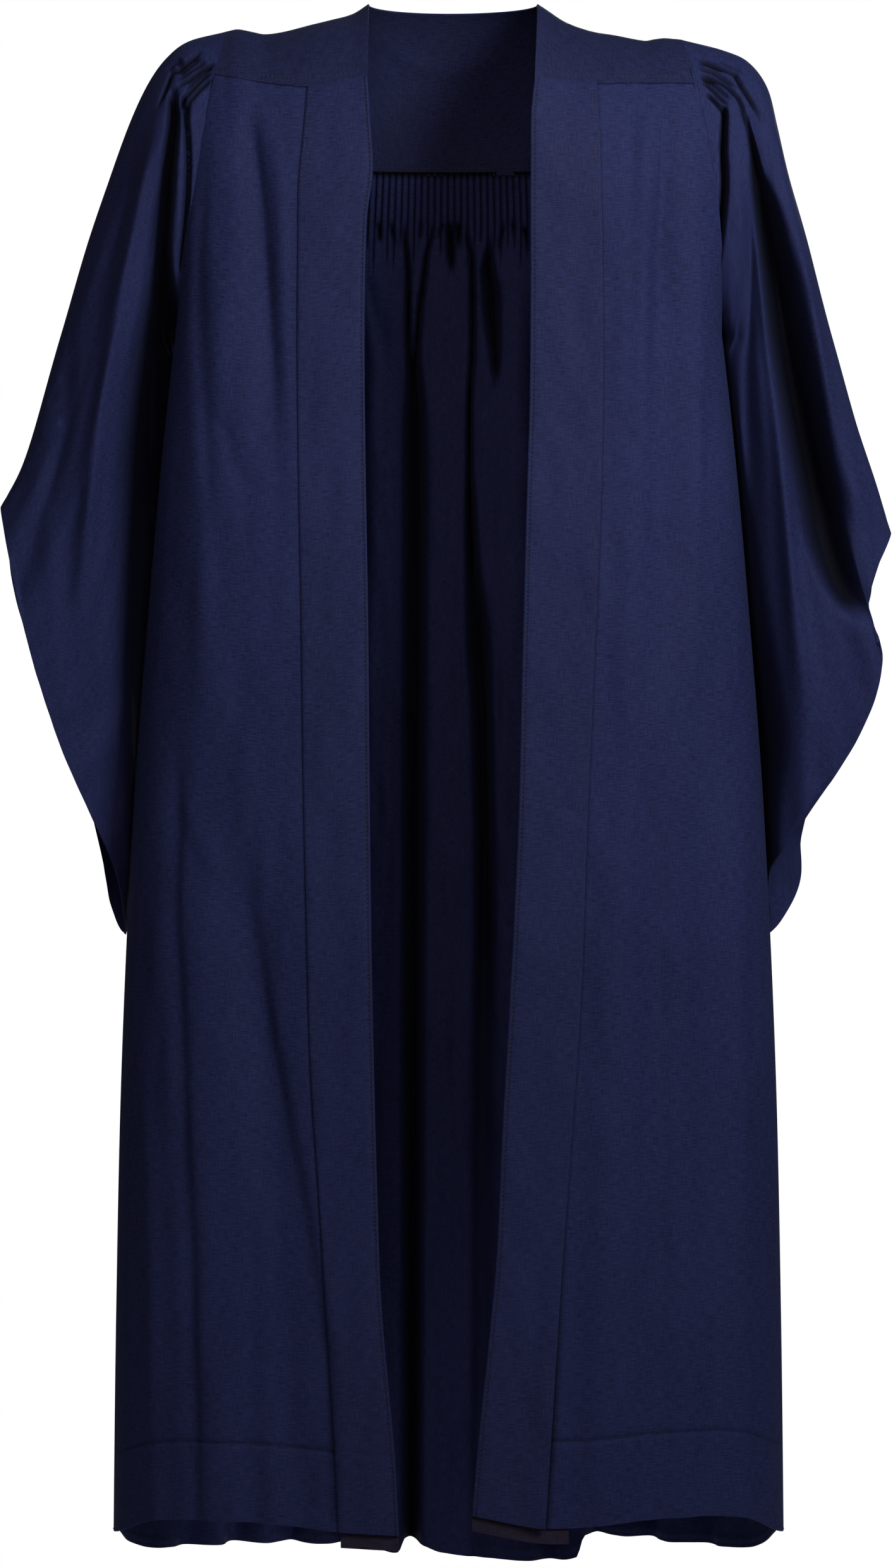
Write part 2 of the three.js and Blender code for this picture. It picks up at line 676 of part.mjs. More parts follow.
function buildYoke() {
  const sheet = new Sheet();
  const columns = yokeColumns();
  const backRows = evenShares(YOKE_BACK_ROWS + 1).map((sink) => sheet.addRow(
    columns.map((column) => yokePoint(column, 'back', sink, BACK_SEAM_Z + SEAM_GAP / 2)),
  ));
  backRows.slice(1).forEach((row, index) => sheet.lace(backRows[index], row));
  Object.keys(SIDES).forEach((side) => {
    const ends = columns.map((column, index) => ({ column, index }))
      .filter(({ column }) => column.side === side && column.share !== undefined);
    const rows = evenShares(YOKE_FRONT_ROWS + 1).map((sink, row) => {
      if (row === 0) return ends.map(({ index }) => backRows[0][index]);
      return sheet.addRow(ends.map(({ column }) => {
        const shift = readTable(FRONT_SEAM, 'share', column.share, side);
        return yokePoint(column, 'front', sink, FRONT_SEAM_Z + shift + SEAM_GAP / 2);
      }));
    });
    rows.slice(1).forEach((row, index) => sheet.lace(row, rows[index]));
  });
  return sheet.solid('yoke', COLOURS.yoke);
}

// Places across the back run from -1 at the right edge to 1 at the left edge
function backPoint(place, z) {
  const side = place < 0 ? 'right' : 'left';
  return bodyPoint(side, 'back', frontEdgeX(side, z) * Math.abs(place), z);
}

// Places of a row's columns, given as shares of its length along the cloth at a level
function backPlaces(shares, level) {
  const slide = (t) => Math.sin((t - 0.5) * Math.PI);
  const curve = (t) => backPoint(slide(t), level);
  const even = spreadEvenly(curve, BACK_SAMPLES + 1, BACK_SAMPLES);
  return shares.map((share) => slide(even[Math.round(share * BACK_SAMPLES)]));
}

function backHemZ(place) {
  return lerp(BACK_HEM_Z, SIDE_HEM_Z, Math.abs(place) ** 3);
}

function backFoldHeight(x, z) {
  const share = (BACK_SEAM_Z - z) / (BACK_SEAM_Z - BACK_HEM_Z);
  const swell = smoothstep(-z, -FLUTE_END_Z, FULL_FOLDS_DEPTH);
  return BACK_FOLDS.reduce((height, fold) => {
    const middle = lerp(fold.topX, fold.hemX, share);
    const spread = fold.width * lerp(FOLD_SPREAD_TOP, FOLD_SPREAD_HEM, share);
    return height + fold.height * swell * foldShape(x - middle, spread);
  }, 0);
}

// Shares across the fluted rows: plain cloth at both ends and two columns to each flute
function fluteShares() {
  const plain = evenShares(BACK_PLAIN_COLUMNS + 1).slice(0, -1).map((t) => t * BACK_PLAIN_SHARE);
  const flutes = evenShares(BACK_FLUTES * 2 + 1)
    .map((t) => lerp(BACK_PLAIN_SHARE, 1 - BACK_PLAIN_SHARE, t));
  return [...plain, ...flutes, ...plain.map((share) => 1 - share).reverse()];
}

function backRow(level, places, { fluted = 0, seam = 0 } = {}) {
  const hemShare = 1 - smoothstep(level, BACK_HEM_Z, BACK_HEM_Z + BACK_HEM_BEND_RISE);
  return places.map((place, index) => {
    const z = lerp(level, backHemZ(place), hemShare) - seam;
    const base = backPoint(place, z);
    if (Math.abs(place) === 1 && z <= UNDERARM_Z) base.y += SEAM_GAP / 2;
    const edgeFade = smoothstep(1 - Math.abs(place), 0, BACK_CALM_EDGE);
    const flute = (index % 2 === 0 ? 1 : -1) * fluted * BACK_FLUTE_RELIEF * edgeFade;
    const foldAt = (x) => backFoldHeight(x, z) * edgeFade;
    const slope = (foldAt(base.x + 1) - foldAt(base.x - 1)) / 2;
    const slant = fluted > 0 ? FLUTE_SLANT : Math.hypot(1, slope);
    const out = outOfBody(place < 0 ? 'right' : 'left', base);
    return wallAt(base, out, foldAt(base.x) + flute, CLOTH, slant);
  });
}

function buildBack() {
  const sheet = new Sheet();
  const fine = backPlaces(fluteShares(), BACK_SEAM_Z);
  const coarse = backPlaces(evenShares(BACK_COLUMNS + 1), EVEN_Z);
  const fluted = [
    sheet.addRow(backRow(BACK_SEAM_Z, fine, { fluted: 1, seam: SEAM_GAP / 2 })),
    sheet.addRow(backRow(FLUTE_MIDDLE_Z, fine, { fluted: 1 })),
    sheet.addRow(backRow(FLUTE_END_Z, fine, { fluted: FLUTE_END_STRENGTH })),
  ];
  const levels = [...armholeRows('right', RELEASE_Z, BACK_ARMHOLE_ROWS), ...BACK_LOWER_ROWS];
  const folded = levels.map((level) => sheet.addRow(backRow(level, coarse)));
  sheet.lace(fluted[0], fluted[1]);
  sheet.lace(fluted[1], fluted[2]);
  sheet.lace(fluted[2], folded[0], fine, coarse);
  folded.slice(1).forEach((row, index) => sheet.lace(folded[index], row));
  return sheet.solid('back', COLOURS.cloth);
}

// One section of a sleeve: its centre, the half line towards the overarm, and its half depth
function sleeveSection(side, down) {
  const read = (column) => readTable(SLEEVES[side], 'share', down, column);
  const over = new THREE.Vector3(read('overX'), MID_Y, read('overZ'));
  const tuckY = lerp(MID_Y, SLEEVE_TUCK_Y, read('tuck'));
  const under = new THREE.Vector3(read('underX'), tuckY, read('underZ'));
  const centre = over.clone().add(under).multiplyScalar(0.5);
  const reach = over.clone().sub(under).multiplyScalar(0.5);
  return { centre, reach, half: read('half') };
}

// Angles of the columns round the armhole: the top, the flutes in front, the lower part,
// and the flutes behind
function headAngles() {
  const start = THREE.MathUtils.degToRad(HEAD_FLUTES_START);
  const end = THREE.MathUtils.degToRad(HEAD_FLUTES_END);
  const under = SLEEVE_COLUMNS - TOP_COLUMNS - HEAD_FLUTES * 4;
  const between = (from, to, count) => evenShares(count + 1).slice(0, -1)
    .map((share) => lerp(from, to, share));
  return [
    ...between(0, start, TOP_COLUMNS / 2),
    ...between(start, end, HEAD_FLUTES * 2),
    ...between(end, Math.PI * 2 - end, under),
    ...between(Math.PI * 2 - end, Math.PI * 2 - start, HEAD_FLUTES * 2),
    ...between(Math.PI * 2 - start, Math.PI * 2, TOP_COLUMNS / 2),
  ];
}

function evenAngles(section) {
  const length = section.reach.length();
  const curve = (t) => new THREE.Vector3(
    length * Math.cos(t * Math.PI * 2),
    section.half * Math.sin(t * Math.PI * 2),
    0,
  );
  return spreadEvenly(curve, SLEEVE_COLUMNS + 1).slice(0, -1).map((t) => t * Math.PI * 2);
}

function headFlute(angle, down) {
  const degrees = THREE.MathUtils.radToDeg(Math.min(angle, Math.PI * 2 - angle));
  if (degrees < HEAD_FLUTES_START || degrees > HEAD_FLUTES_END) return 0;
  const place = (degrees - HEAD_FLUTES_START) / (HEAD_FLUTES_END - HEAD_FLUTES_START);
  const release = 1 - smoothstep(down, HEAD_FLUTES_DOWN, HEAD_RELEASE_DOWN);
  return -HEAD_FLUTE_RELIEF * Math.cos(place * HEAD_FLUTES * Math.PI * 2) * release;
}

function sleeveFoldHeight(side, angle, down, length) {
  const across = (1 - Math.cos(angle)) / 2;
  const layer = Math.sin(angle) > 0 ? 'front' : 'back';
  return SLEEVE_FOLDS[side].reduce((height, fold) => {
    const share = (down - fold.down) / (fold.downEnd - fold.down);
    if (fold.layer !== layer || share <= 0 || share > 1) return height;
    const middle = lerp(fold.across, fold.acrossEnd, share);
    const easeOut = fold.downEnd === 1 ? FOLD_CUT_OFF : FOLD_EASE_OUT;
    const nearOver = smoothstep(across, 0, SLEEVE_CALM_OVER);
    const nearUnder = 1 - smoothstep(across, SLEEVE_CALM_UNDER, 1);
    const fade = foldFade(share, FOLD_EASE_IN, easeOut) * nearOver * nearUnder;
    return height + fold.height * fade * foldShape((across - middle) * length, fold.width);
  }, 0);
}

function sleevePoint(side, section, angle, down) {
  const { centre, reach, half } = section;
  const turn = Math.cos(angle);
  const base = centre.clone().addScaledVector(reach, turn);
  base.y -= half * Math.sin(angle);
  const coreLimit = Math.max(0, 1 - half / reach.length());
  const core = centre.clone().addScaledVector(reach, clamp(turn, -coreLimit, coreLimit));
  const out = base.clone().sub(core).normalize();
  const across = (1 - turn) / 2;
  const layer = Math.sin(angle) > 0 ? 'front' : 'back';
  const mouthShare = smoothstep(down, MOUTH_START, 1);
  const mouth = readTable(MOUTHS[side], 'across', across, layer) * mouthShare;
  const along = reach.clone().normalize();
  base.x += along.z * mouth;
  base.z -= along.x * mouth;
  const length = reach.length() * 2;
  const height = headFlute(angle, down) + sleeveFoldHeight(side, angle, down, length);
  const wall = wallAt(base, out, height, CLOTH, SLEEVE_SLANT);
  return down === 0 ? onArmhole(side, wall) : clearOfBody(wall);
}

// The first ring lies just outside the armhole
function onArmhole(side, wall) {
  Object.values(wall).forEach((point) => {
    point.x = armholeX(side, point.z) + SEAM_GAP / 2;
  });
  return wall;
}

// A sleeve hangs beside the body, so its inner side is held off the body's side
function clearOfBody(wall) {
  const { outer, inner } = wall;
  const belowUnderarm = UNDERARM_Z - outer.z;
  if (belowUnderarm < 0) return wall;
  const clearance = Math.min(SLEEVE_CLEARANCE, SEAM_GAP + belowUnderarm * CLEARANCE_RISE);
  const moved = Math.max(0, bodySideX(outer.y, outer.z) + clearance - outer.x);
  outer.x += moved;
  inner.x += moved;
  return wall;
}

function buildSleeve(side) {
  const sheet = new Sheet();
  const head = headAngles();
  const rows = SLEEVE_ROWS.map((down) => {
    const section = sleeveSection(side, down);
    const even = evenAngles(section);
    const settle = smoothstep(down, HEAD_FLUTES_DOWN, EVEN_COLUMNS_DOWN);
    return sheet.addRow(head.map((angle, index) =>
      sleevePoint(side, section, lerp(angle, even[index], settle), down)));
  });
  const closed = rows.map((row) => [...row, row[0]]);
  closed.slice(1).forEach((row, index) => sheet.lace(closed[index], row));
  if (SIDES[side].sign < 0) {
    [...sheet.outer, ...sheet.inner].forEach((point) => {
      point.x *= -1;
    });
  }
  return sheet.solid(`sleeve_${side}`, COLOURS.cloth);
}

const gown = new THREE.Group();
gown.add(buildYoke(), buildBack());
Object.keys(SIDES).forEach((side) => {
  gown.add(buildFront(side), buildBand(side), buildFacing(side), buildSleeve(side));
});

export default gown;
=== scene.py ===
# %% [markdown]
# # A graduation gown, filled out with nobody in it
#
# A bachelor's gown is a yoke that lies over the shoulders, two long fronts with a flat
# band down each edge, one very full back whose width is gathered into rows of fine tubes
# under the yoke, and two open pointed sleeves gathered the same way at the shoulder.
# This lesson sews it again out of mathematics: each panel is a grid of points on the
# smooth form of the worn gown, pushed in and out by its folds and then given a thickness.

# %% Load the frame
import math
import bpy
import numpy as np
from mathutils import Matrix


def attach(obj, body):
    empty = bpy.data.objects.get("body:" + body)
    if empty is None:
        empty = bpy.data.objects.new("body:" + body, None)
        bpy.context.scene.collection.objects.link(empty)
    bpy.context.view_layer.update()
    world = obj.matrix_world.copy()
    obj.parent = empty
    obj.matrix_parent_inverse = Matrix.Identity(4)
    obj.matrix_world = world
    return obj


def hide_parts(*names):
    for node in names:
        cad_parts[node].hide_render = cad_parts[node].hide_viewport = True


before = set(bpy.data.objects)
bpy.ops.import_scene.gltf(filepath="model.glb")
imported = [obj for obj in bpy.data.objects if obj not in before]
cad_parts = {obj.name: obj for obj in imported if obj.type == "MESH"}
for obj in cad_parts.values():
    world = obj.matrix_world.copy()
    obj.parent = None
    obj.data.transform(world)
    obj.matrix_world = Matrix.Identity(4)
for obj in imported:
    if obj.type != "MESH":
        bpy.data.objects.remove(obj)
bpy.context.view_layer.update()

# %% [markdown]
# ## Camera
#
# The gown is seen from straight ahead, from about four and a half metres, so that the
# hem and the shoulders are both nearly level with the eye. A long lens that far away
# keeps the front and the back of the hem only a few millimetres apart in height.

# %% Camera
MM = 0.001
scene = bpy.context.scene
camera = bpy.data.objects.new("camera", bpy.data.cameras.new("camera"))
camera.data.sensor_width = 24.0
camera.data.lens = 88.64
camera.location = (-0.002, -4.515, -0.5866)
camera.rotation_euler = (math.pi / 2, 0, 0)
scene.collection.objects.link(camera)
scene.camera = camera
print("camera at", tuple(round(number, 3) for number in camera.location))

# %% [markdown]
# ## Light
#
# Dark cloth only shows its folds if one side of each fold is brighter than the other.
# A cool soft panel stands high to the right, a weaker and warmer one nearly straight
# ahead, and a third lights the back. The two in front have narrow beams aimed at the
# shoulders, so that the cloth darkens towards the hem. Standard colours keep white white.

# %% Light
scene.view_settings.view_transform = "Standard"
ROOM_LIGHT = 0.07
world = bpy.data.worlds.new("room")
world.use_nodes = True
room = world.node_tree
sky = room.nodes["Background"]
sky.inputs["Color"].default_value = (1, 0.95, 1, 1)
sky.inputs["Strength"].default_value = ROOM_LIGHT
backdrop = room.nodes.new("ShaderNodeBackground")
backdrop.inputs["Color"].default_value = (1, 1, 1, 1)
backdrop.inputs["Strength"].default_value = 1.0
path = room.nodes.new("ShaderNodeLightPath")
choice = room.nodes.new("ShaderNodeMixShader")
room.links.new(path.outputs["Is Camera Ray"], choice.inputs[0])
room.links.new(sky.outputs[0], choice.inputs[1])
room.links.new(backdrop.outputs[0], choice.inputs[2])
room.links.new(choice.outputs[0], room.nodes["World Output"].inputs["Surface"])
scene.world = world


def soft_panel(name, place, aim, size, power, tint=(1, 1, 1), beam=180):
    light = bpy.data.lights.new(name, "AREA")
    light.size = size
    light.energy = power
    light.color = tint
    light.spread = math.radians(beam)
    lamp = bpy.data.objects.new(name, light)
    lamp.location = place
    way = [there - here for here, there in zip(place, aim)]
    flat = math.hypot(way[0], way[1])
    tilt, heading = math.atan2(flat, -way[2]), math.atan2(way[1], way[0])
    lamp.rotation_euler = (tilt, 0, heading - math.pi / 2)
    scene.collection.objects.link(lamp)


COOL, WARM = (0.94, 1.0, 0.97), (1.0, 0.88, 0.82)
soft_panel("key", (1.0, -1.55, 0.5), (0.25, 0, -0.1), 0.6, 14, COOL, 100)
soft_panel("front", (-0.1, -2.2, 0.5), (-0.05, 0, -0.1), 0.5, 7.6, WARM, 110)
soft_panel("behind", (0.2, 2.9, 0.3), (0, 0, -0.5), 1.2, 50)
print("three soft panels and a white room")

# %% [markdown]
# ## Floor
#
# The gown hangs clear of the floor, as on a wearer. A plain pale disc far enough below
# the hem stays out of the front view and still grounds the others.

# %% Floor
FLOOR_Z, FLOOR_RADIUS = -1.42, 1.15
bpy.ops.mesh.primitive_circle_add(
    vertices=96, radius=FLOOR_RADIUS, fill_type="NGON", location=(0, 0, FLOOR_Z)
)
floor = bpy.context.object
floor.name = "floor"
plain = bpy.data.materials.new("floor")
plain.use_nodes = True
inputs = plain.node_tree.nodes["Principled BSDF"].inputs
inputs["Base Color"].default_value = (0.86, 0.86, 0.86, 1)
inputs["Roughness"].default_value = 0.7
floor.data.materials.append(plain)
print("floor at", FLOOR_Z)

# %% [markdown]
# ## Tables and smooth curves
#
# A pattern cutter writes a garment down as a few measured points and draws a smooth
# curve through them. Each table below is that: named columns of millimetres, and one
# function that reads a smooth value anywhere between the rows.

# %% Tables and curves
def table(columns, *rows):
    return dict(zip(columns.split(), np.array(rows, float).T))


def read(rows, at, column):
    keys, values = next(iter(rows.values())), rows[column]
    at = np.clip(at, keys[0], keys[-1])
    row = np.clip(np.searchsorted(keys, at) - 1, 0, len(keys) - 2)
    ends = np.pad(keys, 1, "edge"), np.pad(values, 1, "edge")
    slope = (ends[1][2:] - ends[1][:-2]) / (ends[0][2:] - ends[0][:-2])
    step = keys[row + 1] - keys[row]
    share = (at - keys[row]) / step
    rise = values[row + 1] - values[row]
    bend = share * (1 - share)
    lead_in = (slope[row] * step - rise) * bend * (1 - share)
    lead_out = (rise - slope[row + 1] * step) * bend * share
    return values[row] + rise * share + lead_in + lead_out


def mix(start, end, share):
    return start + (end - start) * share


def ease(value, start, end):
    share = np.clip((value - start) / (end - start), 0, 1)
    return share * share * (3 - 2 * share)


def even(points):
    """Shares of the way along a row of points."""
    steps = np.linalg.norm(np.diff(points, axis=0), axis=1)
    travelled = np.concatenate([[0], np.cumsum(steps)])
    return travelled / travelled[-1]


print("tables are read with a smooth curve through their rows")

# %% [markdown]
# ## The worn form
#
# Under every fold lies the form of the gown as it is worn: how wide and deep it is at
# each height, where the shoulders and the armholes run, and where the bands lie. These
# are the sizes that the solids of the frame were made from, so the cloth fits them.

# %% Sizes of the worn form
SEAM_GAP = 0.3
NECK_Z, DOME_HEIGHT = 19, 22.4
FRONT_SEAM_Z, BACK_SEAM_Z = -50, -102
FLUTE_END_Z, UNDERARM_Z = -146, -240
FRONT_HEM_Z, BACK_HEM_Z = -1150, -1207
SEAM_BEND_FALL, FRONT_HEM_BEND_RISE, BACK_HEM_BEND_RISE, FULL_FOLDS_DEPTH = 150, 260, 300, 290
MID_Y = -15
FALL = {"front": 150, "back": 250}
ARMHOLE_HALF_DEPTH = 75
CORE_HALF, CORE_DROP = 120, 100
EVEN_Z = -600
CLOTH_THICK = 0.9

SIDES = {
    "right": {"sign": -1, "neck": 62, "armhole_x": 172, "armhole_z": -2.2, "bulge": 2},
    "left": {"sign": 1, "neck": 69, "armhole_x": 180, "armhole_z": -8.5, "bulge": 8},
}

BODY = table(
    "z width front back front_square back_square",
    (-1215, 260.5, 114, 138, 2.6, 2.6),
    (-1000, 258, 112, 136, 2.65, 2.6),
    (-800, 253.5, 109, 134, 2.75, 2.6),
    (-600, 244, 105, 132, 2.9, 2.6),
    (-450, 232.5, 102, 130.5, 3.2, 2.65),
    (-330, 221.5, 101, 129, 3.8, 2.75),
    (-240, 211, 100, 128, 4.6, 3),
    (50, 175, 100, 128, 5, 3.1),
)

SHOULDER = {
    "right": table(
        "x z",
        (62, 19), (74, 11.6), (91, 6.6), (108, 2.3), (130, -2.8),
        (143, -4.4), (152, -2.8), (164, -0.5), (172, -2.2),
    ),
    "left": table(
        "x z",
        (69, 19), (76, 14.5), (91, 4.6), (110, -2.2), (129, -5.2),
        (152, -9.5), (160, -8.2), (168, -7.3), (180, -8.5),
    ),
}

BANDS = {
    "right": table(
        "z inner outer",
        (-1170, 37, 83), (-1095, 41, 86.4), (-980, 51, 93.6), (-900, 54, 98.4),
        (-807, 56.6, 104.6), (-711, 58.5, 107.5), (-586, 60, 110.4), (-471, 61, 112),
        (-279, 63.8, 115), (-160, 62.4, 114.5), (-120, 57.6, 113.5), (-80, 60, 110),
        (-46, 62.2, 107.5),
    ),
    "left": table(
        "z inner outer",
        (-1170, 15.5, 72), (-1095, 21.6, 77), (-951, 36, 86.4), (-855, 40.5, 93.6),
        (-759, 46, 100), (-615, 53, 105.6), (-495, 56, 111), (-399, 58.5, 115),
        (-279, 61.8, 117.6), (-111, 62.4, 116), (-75, 63, 114.7), (-46, 66, 113.5),
    ),
}

FRONT_SEAM = table("share right left", (0, 3, 2), (0.35, -4, -1), (0.6, -1, 0), (1, 8, 1))
FRONT_HEM = table(
    "share right left", (0, -6, 9), (0.25, -3, -1), (0.55, 3, 4), (0.85, 0, 3), (1, -15, -15)
)
print("body, shoulders, bands and seams are measured")


# %% The smooth form from those sizes
def shoulder_z(side, x):
    neck = SIDES[side]["neck"]
    dome = NECK_Z + DOME_HEIGHT * (1 - (x / neck) ** 2)
    return np.where(x >= neck, read(SHOULDER[side], x, "z"), dome)


def armhole_x(side, z):
    top = SIDES[side]
    share = np.clip((top["armhole_z"] - z) / (top["armhole_z"] - UNDERARM_Z), 0, 1)
    straight = mix(top["armhole_x"], read(BODY, UNDERARM_Z, "width"), share)
    return straight + top["bulge"] * 4 * share * (1 - share)


def armhole_half_depth(side, z):
    half = (SIDES[side]["armhole_z"] - UNDERARM_Z) / 2
    from_centre = (z - UNDERARM_Z - half) / half
    return ARMHOLE_HALF_DEPTH * np.sqrt(np.maximum(0, 1 - from_centre**2))


def full_depth(side, layer, x, z):
    rest = 1 - np.clip((shoulder_z(side, x) - z) / FALL[layer], 0, 1)
    return read(BODY, z, layer) * np.sqrt(1 - rest**2)


def square_round(layer, share, z):
    square = read(BODY, z, layer + "_square")
    return (1 - np.clip(share, 0, 1) ** square) ** (1 / square)


def girth(side, layer, z):
    edge = armhole_x(side, z)
    full = np.maximum(full_depth(side, layer, edge, z), 0.01)
    depth_share = np.minimum(armhole_half_depth(side, z) / full, 0.98)
    reach = edge / square_round(layer, depth_share, z)
    return np.where(z <= UNDERARM_Z, read(BODY, z, "width"), reach)


def body_point(side, layer, x, z):
    depth = full_depth(side, layer, x, z) * square_round(layer, x / girth(side, layer, z), z)
    towards = -1 if layer == "front" else 1
    return np.stack([SIDES[side]["sign"] * x, MID_Y + towards * depth, z + 0 * x], -1)


def out_of_body(side, points):
    x, z = points[..., 0], points[..., 2]
    core_z = np.minimum(z, shoulder_z(side, np.abs(x)) - CORE_DROP)
    core = np.stack([np.clip(x, -CORE_HALF, CORE_HALF), MID_Y + 0 * x, core_z], -1)
    return unit(points - core)


def unit(vectors):
    return vectors / np.maximum(np.linalg.norm(vectors, axis=-1, keepdims=True), 1e-9)


def edge_x(side, z):
    return np.where(z > UNDERARM_Z, armhole_x(side, z) - SEAM_GAP / 2, read(BODY, z, "width"))


print("the body is", float(2 * read(BODY, FRONT_HEM_Z, "width")), "mm wide at the hem")

# %% [markdown]
# ## Folds
#
# A fold is a line across the cloth with a ridge or a trough along it. Real ones lean:
# one side is steep and in shadow, the other runs out flat. So each fold here is a drawn
# line of points with a width on either side, and it swells and fades along its length.
# Many low waves in random directions give the cloth between the folds its slight unrest.
# Where two folds close on each other they leave a trench, which is drawn as a table of
# places, widths and depths down the cloth. Hardly any light comes back out of one, so
# each point of the cloth also keeps a painted shade, from 0 to 1, that darkens its colour.

# %% Folds
# Painted shade of a trench: full at this depth, and this much wider than the trench
TRENCH_SHADE_DEPTH, SHADE_SPREAD = 14, 1.22


def fold_field(x, z, line, height, left, right=None, fade=(0.2, 0.25)):
    """Height of one fold over the cloth: left and right are its widths on either side."""
    line = np.array(line, float)
    right = left if right is None else right
    best = np.full(x.shape, 1e9)
    signed = np.zeros(x.shape)
    along = np.zeros(x.shape)
    lengths = np.linalg.norm(np.diff(line, axis=0), axis=1)
    total, before = lengths.sum(), 0.0
    for (ax, az), (bx, bz), length in zip(line[:-1], line[1:], lengths):
        dx, dz = (bx - ax) / length, (bz - az) / length
        px, pz = x - ax, z - az
        way = np.clip(px * dx + pz * dz, 0, length)
        off = np.hypot(px - way * dx, pz - way * dz)
        nearer = off < best
        best = np.where(nearer, off, best)
        side = px * dz - pz * dx
        signed = np.where(nearer, np.where(side > 0, -off, off), signed)
        along = np.where(nearer, (before + way) / total, along)
        before += length
    across = np.where(signed < 0, -signed / left, signed / right)
    strength = ease(along, -1e-6, fade[0]) * (1 - ease(along, 1 - fade[1], 1 + 1e-6))
    return height * strength * np.exp(-(across**2))


def folds(x, z, entries):
    height = np.zeros(x.shape)
    for entry in entries:
        height = height + fold_field(x, z, *entry)
    return height


def trench(x, z, rows):
    """A long gap that is too deep to see into: how far in it goes, and how much painted shade
    darkens it.
    """
    off = x - read(rows, z, "x")
    across = off / np.where(off < 0, read(rows, z, "left"), read(rows, z, "right"))
    depth = read(rows, z, "depth")
    # Painted shade: the trench's colour is darkened towards black
    trench_shade = np.exp(-(np.abs(across / SHADE_SPREAD) ** 3))
    return depth * np.exp(-(np.abs(across) ** 3)), trench_shade * ease(depth, 0, TRENCH_SHADE_DEPTH)


def unrest(seed, waves, height, over, along, wide, long):
    """Low waves in random directions, of these average lengths over and along the cloth."""
    chance = np.random.default_rng(seed)
    total = np.zeros(over.shape)
    for _ in range(waves):
        across, down = chance.normal(0, 1) / wide, chance.normal(0, 1) / long
        phase = chance.uniform(0, 2 * math.pi)
        total += np.sin(2 * math.pi * (across * over + down * along) + phase)
    return height * total


print("folds are drawn lines with a steep and a flat side, and trenches are tables")

# %% [markdown]
# ## Cloth with a thickness
#
# A sheet starts as rows of points, laced together into one skin. The skin's own normals
# then say which way is in, and a second skin is set that far inside. A strip round every
# open edge closes the two, so each panel is one real piece of cloth with hems that catch
# the light. Every point also keeps its place on the flat cloth, in metres, for the weave.

# %% Cloth with a thickness
class Sheet:
    def __init__(self):
        self.points, self.outs, self.thick, self.flat = [], [], [], []
        # Painted shade of each skin, from 0 to 1, mixed into its colour
        self.painted_shade = {"outside": 0, "inside": 0}
        self.quads, self.triangles = [], []
        self.flat_quads, self.flat_triangles = [], []
        self.count = self.flat_count = 0

    def row(self, points, outs, thick, flat, ring=False):
        self.points.append(points)
        self.outs.append(outs)
        self.thick.append(thick + 0 * points[:, 0])
        self.flat.append(flat)
        places = self.count + np.arange(len(points))
        corners = self.flat_count + np.arange(len(flat))
        self.count += len(points)
        self.flat_count += len(flat)
        return (np.append(places, places[0]) if ring else places), corners

    def lace(self, upper, lower):
        """Quads between rows of equal length, or triangles where the upper has twice the steps."""
        for a, b, quads, triangles in (
            (upper[0], lower[0], self.quads, self.triangles),
            (upper[1], lower[1], self.flat_quads, self.flat_triangles),
        ):
            if len(a) == len(b):
                quads.append(np.stack([a[:-1], a[1:], b[1:], b[:-1]], 1))
                continue
            triangles.append(np.stack([a[0:-1:2], a[1::2], b[:-1]], 1))
            triangles.append(np.stack([a[1::2], b[1:], b[:-1]], 1))
            triangles.append(np.stack([a[1::2], a[2::2], b[1:]], 1))

    def grid(self, points, outs, thick, flat, ring=False):
        thick = np.broadcast_to(thick, points.shape[:2])
        rows = [self.row(*parts, ring) for parts in zip(points, outs, thick, flat)]
        for upper, lower in zip(rows, rows[1:]):
            self.lace(upper, lower)
        return rows

    def piece(self, name, material):
        skin = np.concatenate(self.points)
        outs, thick = np.concatenate(self.outs), np.concatenate(self.thick)
        flat = np.concatenate(self.flat) * MM
        faces = [np.concatenate(kind) for kind in (self.quads, self.triangles) if kind]
        flats = [np.concatenate(kind) for kind in (self.flat_quads, self.flat_triangles) if kind]
        normals = skin_normals(skin, faces)
        if (normals * outs).sum() < 0:
            faces, flats = [face[:, ::-1] for face in faces], [face[:, ::-1] for face in flats]
            normals = -normals
        lining = skin - normals * thick[:, None]
        count = len(skin)
        rims, rim_flats = rim_strips(faces, flats, count)
        inside = [face[:, ::-1] + count for face in faces]
        shells = faces + inside + [rims]
        corners = flats + [face[:, ::-1] for face in flats] + [rim_flats]
        mesh = bpy.data.meshes.new(name)
        every = [face for kind in shells for face in kind.tolist()]
        mesh.from_pydata((np.concatenate([skin, lining]) * MM).tolist(), [], every)
        uv = mesh.uv_layers.new(name="flat")
        loops = np.concatenate([kind.ravel() for kind in corners])
        uv.data.foreach_set("uv", flat[loops].ravel())
        mesh.polygons.foreach_set("use_smooth", [True] * len(every))
        mark_rims(mesh, rims, count)
        # Painted shade per point, outside skin first, read by the material
        painted_shade = [self.painted_shade[which] + np.zeros(count) for which in ("outside", "inside")]
        painted_shade = np.concatenate(painted_shade)
        mesh.attributes.new("painted_shade", "FLOAT", "POINT").data.foreach_set("value", painted_shade)
        mesh.materials.append(material)
        made = bpy.data.objects.new(name, mesh)
        scene.collection.objects.link(made)
        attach(made, "root")
        print(name, "has", sum((kind.shape[1] - 2) * len(kind) for kind in shells), "triangles")
        return made


def skin_normals(skin, faces):
    normals = np.zeros_like(skin)
    for kind in faces:
        a, b, c, d = skin[kind[:, 0]], skin[kind[:, 1]], skin[kind[:, 2]], skin[kind[:, -1]]
        area = np.cross(c - a, d - b) if kind.shape[1] == 4 else np.cross(b - a, c - a)
        for corner in range(kind.shape[1]):
            np.add.at(normals, kind[:, corner], area)
    return unit(normals)


